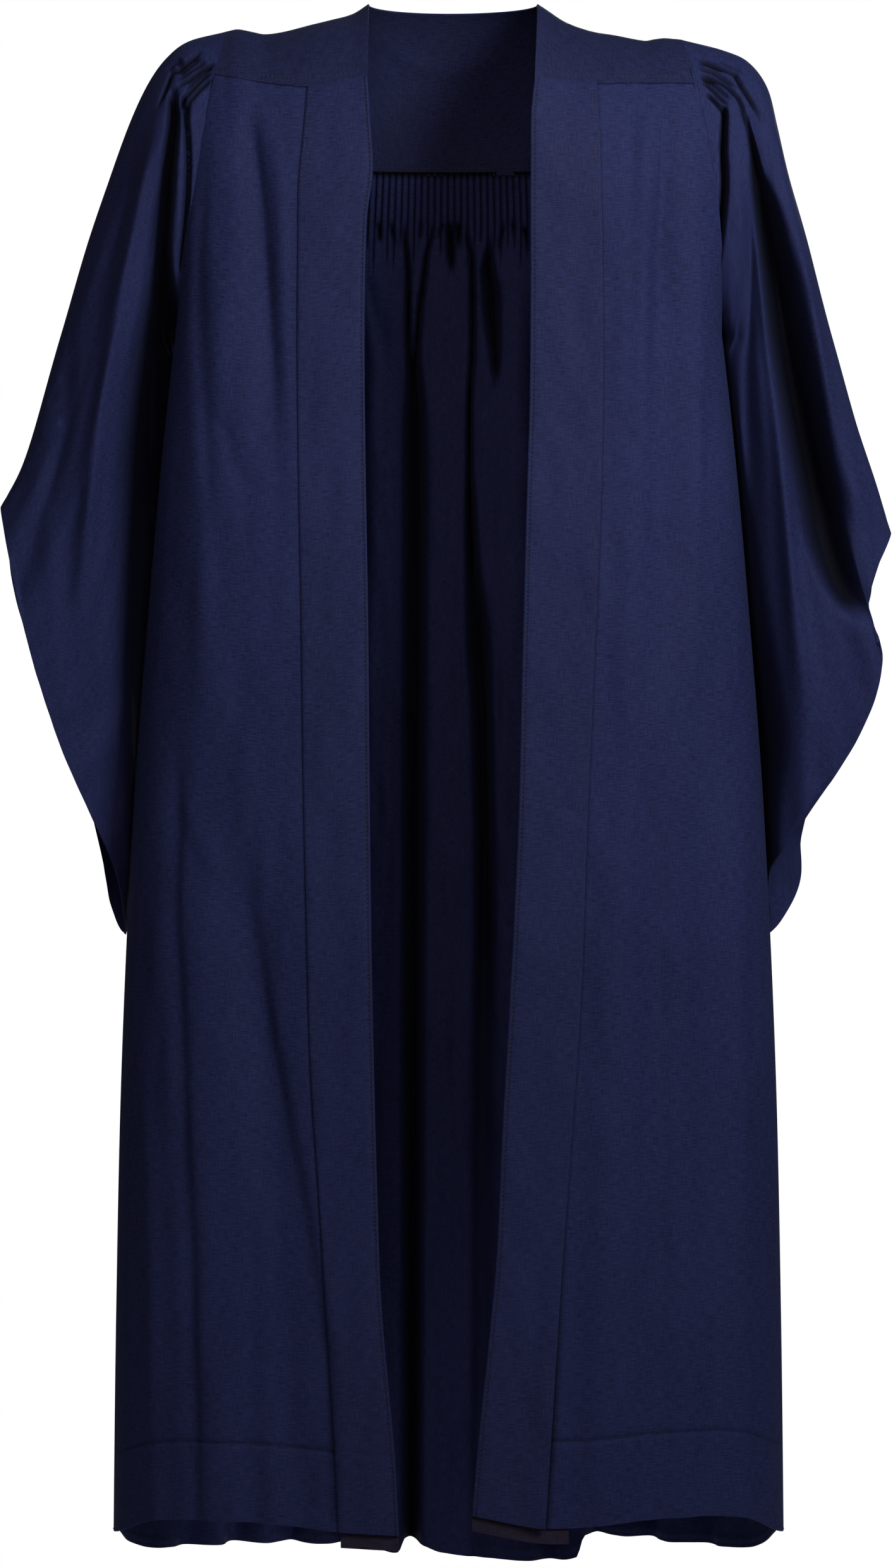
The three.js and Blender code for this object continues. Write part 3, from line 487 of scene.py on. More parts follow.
def rim_strips(faces, flats, count):
    """A quad along each edge that only one face of the skin has."""
    starts, ends, flat_starts, flat_ends = [], [], [], []
    for kind, flat in zip(faces, flats):
        starts.append(kind.ravel())
        ends.append(np.roll(kind, -1, 1).ravel())
        flat_starts.append(flat.ravel())
        flat_ends.append(np.roll(flat, -1, 1).ravel())
    start, end = np.concatenate(starts), np.concatenate(ends)
    flat_start, flat_end = np.concatenate(flat_starts), np.concatenate(flat_ends)
    lone = ~np.isin(start * count + end, end * count + start)
    s, e, fs, fe = start[lone], end[lone], flat_start[lone], flat_end[lone]
    return np.stack([e, s, s + count, e + count], 1), np.stack([fe, fs, fs, fe], 1)


def mark_rims(mesh, rims, count):
    on_rim = np.zeros(2 * count, bool)
    on_rim[rims.ravel()] = True
    edges = np.zeros(len(mesh.edges) * 2, int)
    mesh.edges.foreach_get("vertices", edges)
    edges = edges.reshape(-1, 2)
    keys = set(map(tuple, np.sort(np.concatenate([rims[:, :2], rims[:, 2:]]), 1).tolist()))
    sharp = [tuple(pair) in keys for pair in np.sort(edges, 1).tolist()]
    mesh.attributes.new("sharp_edge", "BOOLEAN", "EDGE").data.foreach_set("value", sharp)


def flat_places(grid, ring=False):
    """Where each point of a grid lies on the flat cloth, across and down, in millimetres."""
    if ring:
        grid = np.concatenate([grid, grid[:, :1]], 1)
    across = np.linalg.norm(np.diff(grid, axis=1), axis=-1)
    across = np.concatenate([np.zeros((len(grid), 1)), np.cumsum(across, 1)], 1)
    across -= across[:, across.shape[1] // 2][:, None]
    down = np.linalg.norm(np.diff(grid, axis=0), axis=-1)
    down = np.concatenate([np.zeros((1, grid.shape[1])), np.cumsum(down, 0)], 0)
    return np.stack([across, -down], -1)


print("sheets are laced, given a thickness and laid out flat for the weave")

# %% [markdown]
# ## Shader maths in plain Python
#
# A weave is mostly arithmetic on the place in the cloth, and arithmetic is easier to
# read as an expression than as thirty wired boxes. This small class wraps a value that
# travels between nodes, so that `1 - mask * 0.4` adds the Math nodes itself.

# %% Shader maths
class Value:
    def __init__(self, maker, socket):
        self.maker, self.socket = maker, socket

    def math(self, operation, other, swapped=False):
        pair = (other, self) if swapped else (self, other)
        return self.maker.node("ShaderNodeMath", {"operation": operation}, dict(enumerate(pair)))

    def __add__(self, other): return self.math("ADD", other)
    def __radd__(self, other): return self.math("ADD", other)
    def __sub__(self, other): return self.math("SUBTRACT", other)
    def __rsub__(self, other): return self.math("SUBTRACT", other, True)
    def __mul__(self, other): return self.math("MULTIPLY", other)
    def __rmul__(self, other): return self.math("MULTIPLY", other)


class Maker:
    """Adds nodes to one material."""

    def __init__(self, name):
        self.material = bpy.data.materials.new(name)
        self.material.use_nodes = True
        self.tree = self.material.node_tree
        self.shader = self.tree.nodes["Principled BSDF"]

    def node(self, kind, settings=None, sockets=None, output=0):
        made = self.tree.nodes.new(kind)
        for name, value in (settings or {}).items():
            setattr(made, name, value)
        for name, value in (sockets or {}).items():
            self.feed(made.inputs[name], value)
        return Value(self, made.outputs[output])

    def feed(self, socket, value):
        if isinstance(value, Value):
            self.tree.links.new(value.socket, socket)
        else:
            socket.default_value = value

    def stretched_noise(self, place, across, down, detail=2.0, shift=0.0):
        """Noise with so many spots a metre across and down the cloth, between 0 and 1."""
        scaled = self.node(
            "ShaderNodeVectorMath", {"operation": "MULTIPLY_ADD"},
            {0: place, 1: (across, down, 1), 2: (shift, shift, shift)},
        )
        return self.node(
            "ShaderNodeTexNoise", {"noise_dimensions": "2D"},
            {"Vector": scaled, "Scale": 1.0, "Detail": detail, "Roughness": 0.55},
        )


print("values travel between nodes as Python expressions")

# %% [markdown]
# ## The cloth's finish
#
# Gown cloth is a plain weave with uneven yarn: close up, short thick threads run both
# along and across it and catch the light. The uneven yarn is stretched noise in two
# directions, the threads are two fine waves in the bump, and a trace of sheen gives the
# bluish bloom where light grazes the cloth. Where a point lies in a deep fold, a painted
# shade mixes its colour towards black, because a real fold is deeper than any that is drawn.

# %% The cloth's finish
THREADS_A_METRE = 1900
YARN_ALONG, YARN_DOWN, THREAD_SHADE, CLOUD_SHADE = 1.7, 1.1, 0.07, 0.45
THREAD_HEIGHT, YARN_HEIGHT = 0.35, 0.8
# Colour of the painted shade in deep folds and gaps
PAINTED_SHADE_BLACK = (0.0006, 0.0006, 0.0018, 1)


def gown_cloth(name, deep, bright, roughness=0.7):
    maker = Maker(name)
    place = maker.node("ShaderNodeUVMap", {"uv_map": "flat"})
    along = maker.stretched_noise(place, 120, 1500, 2.5)
    down = maker.stretched_noise(place, 1500, 100, 2.5, 7.3)
    clouds = maker.stretched_noise(place, 9, 5, 3.0, 3.1)
    split = maker.node("ShaderNodeSeparateXYZ", {}, {0: place})
    upright = Value(maker, split.socket.node.outputs["Y"])
    turn = 2 * math.pi * THREADS_A_METRE
    weft = (upright * turn).math("SINE", 0)
    warp = (split * turn).math("SINE", 0)
    threads = weft * warp
    yarn = (along - 0.5) * YARN_ALONG + (down - 0.5) * YARN_DOWN
    shade = 0.5 + yarn + threads * THREAD_SHADE + (clouds - 0.5) * CLOUD_SHADE
    colour = maker.node(
        "ShaderNodeMix", {"data_type": "RGBA", "clamp_factor": True},
        {"Factor": shade, "A": (*deep, 1), "B": (*bright, 1)}, 2,
    )
    # Painted shade: the colour is mixed towards black by each point's painted shade
    painted_shade = maker.node("ShaderNodeAttribute", {"attribute_name": "painted_shade"}, {}, 2)
    colour = maker.node(
        "ShaderNodeMix", {"data_type": "RGBA", "clamp_factor": True},
        {"Factor": painted_shade, "A": colour, "B": PAINTED_SHADE_BLACK}, 2,
    )
    maker.feed(maker.shader.inputs["Base Color"], colour)
    rough = roughness + (along - 0.5) * 0.18 + (clouds - 0.5) * 0.1
    maker.feed(maker.shader.inputs["Roughness"], rough)
    height = threads * THREAD_HEIGHT + yarn * YARN_HEIGHT
    bump = maker.node(
        "ShaderNodeBump", {}, {"Strength": 0.35, "Distance": 0.00022, "Height": height}
    )
    maker.feed(maker.shader.inputs["Normal"], bump)
    maker.shader.inputs["Sheen Weight"].default_value = 0.02
    maker.shader.inputs["Sheen Roughness"].default_value = 0.45
    maker.shader.inputs["Sheen Tint"].default_value = (0.42, 0.5, 0.9, 1)
    maker.shader.inputs["Specular IOR Level"].default_value = 0.05
    return maker.material


cloth = gown_cloth("navy gown cloth", (0.0075, 0.0088, 0.034), (0.018, 0.0225, 0.079))
yoke_cloth = gown_cloth("navy yoke cloth", (0.0066, 0.0074, 0.026), (0.0156, 0.0184, 0.058))
band_cloth = gown_cloth("navy band cloth", (0.0070, 0.0082, 0.0315), (0.0166, 0.0204, 0.071), 0.62)
facing_cloth = gown_cloth("violet brown facing", (0.010, 0.008, 0.018), (0.024, 0.019, 0.036), 0.8)
print("four finishes of one weave")


# %% Sewing thread
def sewing_thread():
    maker = Maker("navy sewing thread")
    place = maker.node("ShaderNodeTexCoord", {}, {}, 3)
    twist = maker.node("ShaderNodeTexNoise", {}, {"Vector": place, "Scale": 2600.0, "Detail": 1.0})
    colour = maker.node(
        "ShaderNodeMix", {"data_type": "RGBA"},
        {"Factor": twist, "A": (0.0025, 0.003, 0.008, 1), "B": (0.007, 0.008, 0.021, 1)}, 2,
    )
    maker.feed(maker.shader.inputs["Base Color"], colour)
    maker.shader.inputs["Roughness"].default_value = 0.5
    return maker.material


thread = sewing_thread()
print("thread is darker than the cloth")

# %% [markdown]
# ## Stitches
#
# Topstitching is a row of short threads, each dipping into the cloth at both ends, which
# is what makes a seam look sewn. One stitch is a small five-sided spindle. A whole row is
# laid along a line of points as one mesh.

# %% Stitches
STITCH_PITCH, STITCH_LONG, STITCH_THICK, STITCH_LIFT = 3.4, 2.5, 0.26, 0.12
SPINDLE_SIDES = 5


def spindle_faces():
    """Faces of one stitch: a point, two rings of corners and another point."""
    turns = [(k, (k + 1) % SPINDLE_SIDES) for k in range(SPINDLE_SIDES)]
    first, second, last = 1, 1 + SPINDLE_SIDES, 1 + 2 * SPINDLE_SIDES
    cap = [[0, first + after, first + here] for here, after in turns]
    wall = [[first + here, first + after, second + after, second + here] for here, after in turns]
    end = [[last, second + here, second + after] for here, after in turns]
    return cap + wall + end


def stitches(name, path, normals):
    path, normals = np.asarray(path, float), unit(np.asarray(normals, float))
    travelled = np.concatenate([[0], np.cumsum(np.linalg.norm(np.diff(path, axis=0), axis=1))])
    number = int(travelled[-1] // STITCH_PITCH)
    starts = np.arange(number) * STITCH_PITCH + (STITCH_PITCH - STITCH_LONG) / 2

    def along(distance, rows):
        return np.stack([np.interp(distance, travelled, rows[:, axis]) for axis in range(3)], -1)

    tail, head = along(starts, path), along(starts + STITCH_LONG, path)
    up = unit(along(starts, normals))
    side = np.cross(unit(head - tail), up)
    rings = []
    turns = [2 * math.pi * step / SPINDLE_SIDES for step in range(SPINDLE_SIDES)]
    sink = up * STITCH_THICK * 0.9
    for share in (0.2, 0.8):
        centre = mix(tail, head, share) + up * STITCH_LIFT
        rings += [
            centre + (side * math.cos(turn) + up * math.sin(turn)) * STITCH_THICK for turn in turns
        ]
    points = np.stack([tail - sink, *rings, head - sink], 1)
    corners, spindle = points.shape[1], spindle_faces()
    faces = [
        [corner + corners * place for corner in face] for place in range(number) for face in spindle
    ]
    mesh = bpy.data.meshes.new(name)
    mesh.from_pydata((points.reshape(-1, 3) * MM).tolist(), [], faces)
    mesh.polygons.foreach_set("use_smooth", [True] * len(faces))
    mesh.materials.append(thread)
    made = bpy.data.objects.new(name, mesh)
    scene.collection.objects.link(made)
    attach(made, "root")
    print(name, "has", number, "stitches")
    return made


# %% [markdown]
# ## Fronts
#
# Each front hangs from the yoke beside the opening and rounds over to the side seam.
# Where it is drawn in by the pull of the band it shows long soft troughs, some leaning
# in towards the hem, and the turned hem leaves one shallow line all the way across.

# %% Folds of the fronts
FRONT_FOLDS = {
    "right": [
        ([(-155, -60), (-128, -330)], -4, 13, 13, (0.25, 0.3)),
        ([(-176, -140), (-186, -620)], 4, 17, 17, (0.25, 0.3)),
        ([(-160, -590), (-112, -1175)], -6, 17, 17, (0.25, 0.001)),
        ([(-205, -560), (-178, -1175)], 5, 22, 22, (0.25, 0.001)),
        ([(-155, -60), (-144, -149), (-135, -279), (-130, -420)], -3.4, 12, 6, (0.1, 0.6)),
        ([(-160, -640), (-138, -772), (-110, -915), (-94, -1018), (-90, -1160)],
         -4.6, 17, 6, (0.3, 0.05)),
        ([(-193, -90), (-190, -240), (-176, -420), (-172, -560)], -2.6, 6, 9, (0.15, 0.6)),
        ([(-132, -75), (-127, -190), (-122, -330)], 1.6, 6, 6),
        ([(-212, -470), (-206, -700), (-196, -930), (-190, -1165)], -3.4, 8, 6, (0.4, 0.02)),
        ([(-232, -760), (-226, -960), (-222, -1170)], 3, 8, 8, (0.4, 0.02)),
        ([(-146, -880), (-150, -1010), (-148, -1168)], -2.4, 7, 9, (0.4, 0.02)),
        ([(-176, -300), (-160, -352), (-148, -372)], -1.6, 5, 8),
        ([(-205, -590), (-184, -640), (-166, -664)], 1.5, 6, 9),
    ],
    "left": [
        ([(140, -60), (136, -700)], 4, 13, 13, (0.25, 0.3)),
        ([(162, -70), (168, -560)], -4, 12, 12, (0.25, 0.3)),
        ([(128, -560), (116, -1175)], 5, 15, 15, (0.25, 0.001)),
        ([(196, -420), (205, -1175)], -5, 18, 18, (0.25, 0.001)),
        ([(165, -58), (166, -78), (164, -150), (160, -280)], -2.6, 5, 8, (0.02, 0.6)),
        ([(151, -62), (150, -200), (147, -380)], 1.8, 7, 6, (0.05, 0.5)),
        ([(139, -62), (138, -240), (134, -420)], -1.5, 6, 6, (0.05, 0.5)),
        ([(188, -110), (189, -320), (184, -560)], 2.8, 9, 7, (0.2, 0.5)),
        ([(162, -520), (162, -760), (163, -960), (165, -1168)], -4.2, 13, 9, (0.35, 0.02)),
        ([(140, -620), (138, -860), (134, -1168)], 2.0, 9, 8, (0.35, 0.02)),
        ([(224, -560), (222, -800), (226, -1168)], 3.2, 9, 8, (0.35, 0.02)),
        ([(222, -1001), (239, -1041), (237, -1090)], -2.2, 5, 7),
        ([(124, -300), (150, -352), (170, -370)], -1.2, 6, 9),
        ([(160, -690), (186, -742), (206, -752)], 1.4, 6, 9),
    ],
}
FRONT_CALM_EDGE = 0.9
FRONT_HEM_RISE = {"right": 60, "left": 66}
BAND_STEPS, SIDE_STEPS, FRONT_STEPS = 16, 92, 190
ALLOWANCE_RISES, ALLOWANCE_DEPTH = (3.0, 0.5), 0.6
SEAM_SINK, SEAM_ROLL = 0.3, 6
SEAM_ROWS = np.array([0.7, 1.5, 2.4, 3.6])
HEM_ROWS = np.array([-4, -2.4, -1.2, 0, 1.2, 2.4, 4])
HEM_LINE_DEPTH, HEM_LINE_WIDTH, HEM_PLUMP = 1.1, 2.0, 0.35
# Painted shadow under the yoke seam and along the line of the hem
SEAM_SHADE, SEAM_SHADE_WIDTH = 0.6, 0.7
HEM_SHADE, HEM_SHADE_WIDTH = 0.3, 1.3
print(sum(map(len, FRONT_FOLDS.values())), "folds on the two fronts")


# %% Shape of the fronts
def side_shares(side, steps):
    """Shares of the way from the band to the side, evenly spaced along the cloth."""
    shares = np.sin(np.linspace(0, math.pi / 2, 400))
    outer = read(BANDS[side], EVEN_Z, "outer")
    across = mix(outer, edge_x(side, EVEN_Z), shares)
    line = body_point(side, "front", across, EVEN_Z + 0 * shares)
    return np.interp(np.linspace(0, 1, steps + 1), even(line), shares)


def front_share(side, z, band_share, side_share):
    """Share of a front's width from places under the band (0 to 1) or beyond it."""
    inner, outer = read(BANDS[side], z, "inner"), read(BANDS[side], z, "outer")
    band = (outer - inner) / (edge_x(side, z) - inner)
    return np.where(side_share < 0, band_share * band, mix(band, 1, np.maximum(side_share, 0)))


def front_surface(side, level, share):
    """Smooth points of a front, the way out of them and how far its folds stand out."""
    seam_share = 1 - ease(FRONT_SEAM_Z - level, 0, SEAM_BEND_FALL)
    hem_share = ease(level, FRONT_HEM_Z, FRONT_HEM_Z + FRONT_HEM_BEND_RISE)
    z = level + read(FRONT_SEAM, share, side) * seam_share
    z = z + read(FRONT_HEM, share, side) * (1 - hem_share)
    z = z - np.where(level == FRONT_SEAM_Z, SEAM_GAP / 2, 0)
    x = mix(read(BANDS[side], z, "inner"), edge_x(side, z), share)
    base = body_point(side, "front", x, z)
    base[..., 1] -= np.where((share >= 1) & (z <= UNDERARM_Z), SEAM_GAP / 2, 0)
    out = out_of_body(side, base)
    height = folds(base[..., 0], z, FRONT_FOLDS[side])
    height = height * (1 - ease(share, FRONT_CALM_EDGE, 1))
    return base, out, height


def small_unrest(side, base):
    """The same slight unrest for a front, its band and its facing."""
    return unrest(20 + SIDES[side]["sign"], 22, 0.13, base[..., 0], base[..., 2], 46, 150)


def hem_line(level, rise, hem_z):
    """The shallow line that a turned hem leaves, and the plumper cloth below it."""
    above = level - (hem_z + rise)
    line = -HEM_LINE_DEPTH * np.exp(-((above / HEM_LINE_WIDTH) ** 2))
    return line + HEM_PLUMP * (1 - ease(above, -3, 0))


def front_levels(side):
    """Rows down a front, closer together at the yoke seam and at the line of the hem."""
    hem_top = FRONT_HEM_Z + FRONT_HEM_RISE[side]
    plain = np.linspace(FRONT_SEAM_Z, FRONT_HEM_Z, FRONT_STEPS + 1)
    close = np.concatenate([FRONT_SEAM_Z - SEAM_ROWS, hem_top + HEM_ROWS])
    ends = (FRONT_SEAM_Z, FRONT_HEM_Z)
    kept = [level for level in plain if level in ends or min(abs(close - level)) > 1.5]
    return np.sort(np.unique(np.concatenate([kept, close])))[::-1]


def beside_band(side, x, level):
    """How much painted shadow darkens the cloth beside the band's outer edge."""
    off = x - read(BANDS[side], level, "outer")
    free = ease(-level, 860, 1080) if side == "left" else 0
    return mix(0.45, 0.9, free) * np.exp(-((off / mix(0.9, 2.8, free)) ** 2))


def build_front(side):
    levels = front_levels(side)[:, None]
    under = np.linspace(0, 1, BAND_STEPS + 1)[:-1]
    beyond = side_shares(side, SIDE_STEPS)
    band_share = np.concatenate([under, np.ones(SIDE_STEPS + 1)])[None, :]
    side_share = np.concatenate([-np.ones(BAND_STEPS), beyond])[None, :]
    level = levels + 0 * band_share
    share = front_share(side, level, band_share + 0 * levels, side_share + 0 * levels)
    base, out, height = front_surface(side, level, share)
    calm = 1 - ease(share, FRONT_CALM_EDGE, 1)
    height = height + small_unrest(side, base) * calm
    height = height + hem_line(level, FRONT_HEM_RISE[side], FRONT_HEM_Z) * calm
    height = height - SEAM_SINK * (1 - ease(FRONT_SEAM_Z - level, 0, SEAM_ROLL))
    # Painted shadow beside the band, under the yoke seam and along the hem line
    painted_shade = beside_band(side, np.abs(base[..., 0]), level)
    below_seam, above_hem = FRONT_SEAM_Z - level, level - FRONT_HEM_Z - FRONT_HEM_RISE[side]
    painted_shade = painted_shade + SEAM_SHADE * np.exp(-((below_seam / SEAM_SHADE_WIDTH) ** 2))
    painted_shade = painted_shade + HEM_SHADE * np.exp(-((above_hem / HEM_SHADE_WIDTH) ** 2))
    points = base + out * height[..., None]
    tucked = []
    for rise in ALLOWANCE_RISES:
        above, way, _ = front_surface(side, FRONT_SEAM_Z + rise + 0 * share[:1], share[:1])
        tucked.append((above - way * ALLOWANCE_DEPTH)[0])
    points = np.concatenate([np.stack(tucked), points])
    out = np.concatenate([out[:1]] * len(tucked) + [out])
    sheet = Sheet()
    sheet.grid(points, out, CLOTH_THICK, flat_places(points))
    # The tucked seam allowance is painted fully black, as painted shade
    sheet.painted_shade["outside"] = np.append(np.ones(len(tucked) * len(points[0])), painted_shade)
    made = sheet.piece(f"front_{side}_cloth", cloth)
    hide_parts(f"front_{side}")
    return made


fronts = {side: build_front(side) for side in SIDES}

# %% [markdown]
# ## Bands and facings
#
# The band is a strip of the same cloth, stiffened and folded, that lies flat down each
# front. A line of topstitching runs close to its inner edge and pulls the cloth down into
# a fine groove. Inside the front lies the facing, a duller cloth whose end peeps out
# under the hem.

# %% Bands
STITCH_INSET = 2.6
BAND_ROWS, BAND_THICK = 330, 0.95
BAND_LIFT, BAND_CROWN = 1.35, 0.5
GROOVE_DEPTH, GROOVE_WIDTH, GROOVE_SHADE = 0.42, 0.75, 0.5
PUCKER_HEIGHT, PUCKER_PITCH, PUCKER_REACH = 0.10, 10.2, 5
EDGE_ROLL = 0.5
BAND_FREE = {
    "right": {"height": 0.4, "start": 500, "end": 900, "always": 0},
    "left": {"height": 3.4, "start": 860, "end": 1080, "always": 0.5},
}
BAND_CREASES = {
    "right": [
        ([(6, -640), (30, -700)], -0.5, 3, 6),
        ([(20, -120), (44, -150)], -0.7, 3, 6),
        ([(8, -1092), (46, -1088)], -0.6, 1.2, 1.8, (0.02, 0.02)),
    ],
    "left": [
        ([(24, -600), (51, -616)], -0.9, 2.2, 6),
        ([(4, -1084), (54, -1086)], -0.6, 1.2, 1.8, (0.02, 0.02)),
        ([(4, -1114), (54, -1118)], -0.5, 1.2, 1.8, (0.02, 0.02)),
        ([(12, -300), (40, -330)], -0.5, 3, 6),
    ],
}


def band_free(side, level, across):
    """How far the outer edge of a band stands free of the front."""
    free = BAND_FREE[side]
    loose = free["height"] * ease(-level, free["start"], free["end"]) + free["always"]
    return loose * ease(across, 0.55, 1)


def band_crown(across):
    return BAND_CROWN * np.sin(math.pi * across) ** 0.5


def band_points(side, level, distance, lift):
    """Points of a band at a distance from its inner edge, standing so far off the front."""
    inner = read(BANDS[side], level, "inner")
    share = distance / (edge_x(side, level) - inner)
    base, out, height = front_surface(side, level, share)
    height = height + small_unrest(side, base) + lift
    return base + out * height[..., None], out


def band_width(side, level):
    return read(BANDS[side], level, "outer") - read(BANDS[side], level, "inner")


def band_distances(width):
    """Distances across a band, closer together at its edges and its groove."""
    groove = STITCH_INSET + np.array([-1.6, -0.8, -0.4, 0, 0.4, 0.8, 1.6])
    rest = np.linspace(STITCH_INSET + 4.5, width - 4.6, 12)
    return np.concatenate([[0, 0.45], groove, rest, width - np.array([2.6, 1.2, 0.4, 0])])


def build_band(side):
    level = np.linspace(FRONT_SEAM_Z, FRONT_HEM_Z, BAND_ROWS + 1)[:, None]
    width = band_width(side, level)
    distance = np.stack([band_distances(each) for each in width[:, 0]])
    across, off = distance / width, distance - STITCH_INSET
    groove = -GROOVE_DEPTH * np.exp(-((off / GROOVE_WIDTH) ** 2))
    pucker = PUCKER_HEIGHT * np.sin(level * 2 * math.pi / PUCKER_PITCH)
    pucker = pucker * np.exp(-((off / PUCKER_REACH) ** 2))
    rolled = sum(np.exp(-((inset / EDGE_ROLL) ** 2)) for inset in (distance, width - distance))
    lift = BAND_LIFT + groove + pucker - EDGE_ROLL * rolled + band_crown(across)
    lift = lift + band_free(side, level, across)
    lift = lift + folds(distance, level + 0 * distance, BAND_CREASES[side])
    points, out = band_points(side, level + 0 * distance, distance, lift)
    sheet = Sheet()
    sheet.grid(points, out, BAND_THICK, flat_places(points))
    # Painted shade in the groove of the topstitching
    sheet.painted_shade["outside"] = GROOVE_SHADE * np.exp(-((off / 0.6) ** 2)).ravel()
    made = sheet.piece(f"band_{side}_cloth", band_cloth)
    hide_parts(f"band_{side}")
    return made


bands = {side: build_band(side) for side in SIDES}


# %% Topstitching of the bands
STITCH_ROW_STEP = 1.7
EDGE_STITCH_INSETS = {"edge_stitch": 1.7, "second_stitch": 4.9}
EDGE_STITCH_END = {"right": -132, "left": -118}


def band_stitches(side, name, inset, bottom, from_outer):
    level = np.arange(FRONT_SEAM_Z - 1, bottom, -STITCH_ROW_STEP)
    width = band_width(side, level)
    distance = (width - inset) if from_outer else inset + 0 * level
    across = distance / width
    groove = 0 if from_outer else -GROOVE_DEPTH
    lift = BAND_LIFT + band_crown(across) + band_free(side, level, across) + groove
    points, out = band_points(side, level, distance, lift)
    return stitches(f"{name}_{side}", points, out)


def band_rows(side):
    """The long row near the inner edge, and two short rows at the top of the outer edge."""
    rows = [band_stitches(side, "topstitch", STITCH_INSET, FRONT_HEM_Z + 1, False)]
    for name, inset in EDGE_STITCH_INSETS.items():
        rows.append(band_stitches(side, name, inset, EDGE_STITCH_END[side], True))
    return rows


band_threads = {side: band_rows(side) for side in SIDES}


# %% Facings
FACING_WIDTH = {"right": 44, "left": 74}
FACING_ROWS, FACING_COLUMNS, FACING_THICK, FACING_LIFT = 230, 16, 0.8, -1.5
FACING_DROP = 12


def build_facing(side):
    levels = np.linspace(FRONT_SEAM_Z, FRONT_HEM_Z, FACING_ROWS + 1)
    levels = np.append(levels, FRONT_HEM_Z)[:, None]
    distance = np.linspace(0, FACING_WIDTH[side], FACING_COLUMNS + 1)[None, :] + 0 * levels
    points, out = band_points(side, levels + 0 * distance, distance, FACING_LIFT)
    points[-1, :, 2] -= FACING_DROP
    extra = np.stack([mix(points[-2], points[-1], share) for share in (0.25, 0.5, 0.75)])
    points = np.concatenate([points[:-1], extra, points[-1:]])
    out = np.concatenate([out[:-1], np.repeat(out[-3:-2], len(extra), axis=0), out[-1:]])
    sheet = Sheet()
    sheet.grid(points, out, FACING_THICK, flat_places(points))
    made = sheet.piece(f"facing_{side}_cloth", facing_cloth)
    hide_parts(f"facing_{side}")
    return made


facings = {side: build_facing(side) for side in SIDES}

# %% [markdown]
# ## Yoke
#
# The yoke is one shaped piece over both shoulders, cut double. It runs from the front
# seams, over the shoulders and behind the neck, down to the seam that holds the back.

# %% Yoke
YOKE_COLUMNS, NECK_STEPS, YOKE_FRONT_STEPS, YOKE_BACK_STEPS = 60, 30, 26, 34
YOKE_THICK, YOKE_RIPPLE = 1.3, 0.22
YOKE_FOLDS = [
    ([(-149, -12), (-140, -22), (-132, -34)], -1.6, 3, 6),
    ([(-132, -24), (-121, -30), (-111, -36)], -1.3, 2.6, 6),
    ([(-158, -20), (-150, -34)], 1.0, 4, 5),
    ([(-92, -4), (-100, -26)], -0.6, 4, 7),
    ([(150, -16), (138, -30)], -0.7, 4, 7),
    ([(96, -14), (104, -36)], 0.7, 5, 7),
    ([(168, -24), (160, -44)], -0.8, 4, 6),
]
YOKE_BACK_FOLDS = [
    ([(-150, -20), (-128, -60), (-120, -96)], -1.4, 7, 11),
    ([(148, -22), (131, -60), (122, -96)], -1.5, 7, 11),
    ([(-58, 4), (-34, -16), (0, -24), (36, -16), (62, 2)], -0.9, 5, 8),
    ([(-92, -40), (-84, -98)], 0.9, 9, 9),
    ([(88, -44), (80, -98)], 0.8, 9, 9),
]


def yoke_row(side, columns, layer, sink, bottom):
    """One row of the yoke over a shoulder, from the neck edge out to the armhole."""
    top = SIDES[side]
    top_z = shoulder_z(side, mix(top["neck"], top["armhole_x"] - SEAM_GAP / 2, columns))
    z = top_z - (top_z - bottom) * (1 - math.cos(sink * math.pi / 2))
    sinking = np.clip((NECK_Z - z) / (NECK_Z - FRONT_SEAM_Z), 0, 1)
    front_inner = mix(top["neck"], read(BANDS[side], FRONT_SEAM_Z, "inner"), sinking)
    inner = front_inner if layer == "front" else top["neck"]
    x = mix(inner, armhole_x(side, z) - SEAM_GAP / 2, columns)
    base = body_point(side, layer, x, z)
    return base, out_of_body(side, base)


def neck_row(side, spread, sink, bottom):
    x = SIDES[side]["neck"] * spread
    z = NECK_Z - (NECK_Z - bottom) * (1 - math.cos(sink * math.pi / 2)) + 0 * x
    base = body_point(side, "back", x, z)
    return base, out_of_body(side, base)


def raise_yoke(base, out, layer):
    x, z = base[..., 0], base[..., 2]
    entries = YOKE_FOLDS if layer == "front" else YOKE_BACK_FOLDS
    ripple = YOKE_RIPPLE * np.sin(x / 9.3 + z / 31) * np.sin(z / 14 - x / 57)
    return base + out * (folds(x, z, entries) + ripple)[..., None]


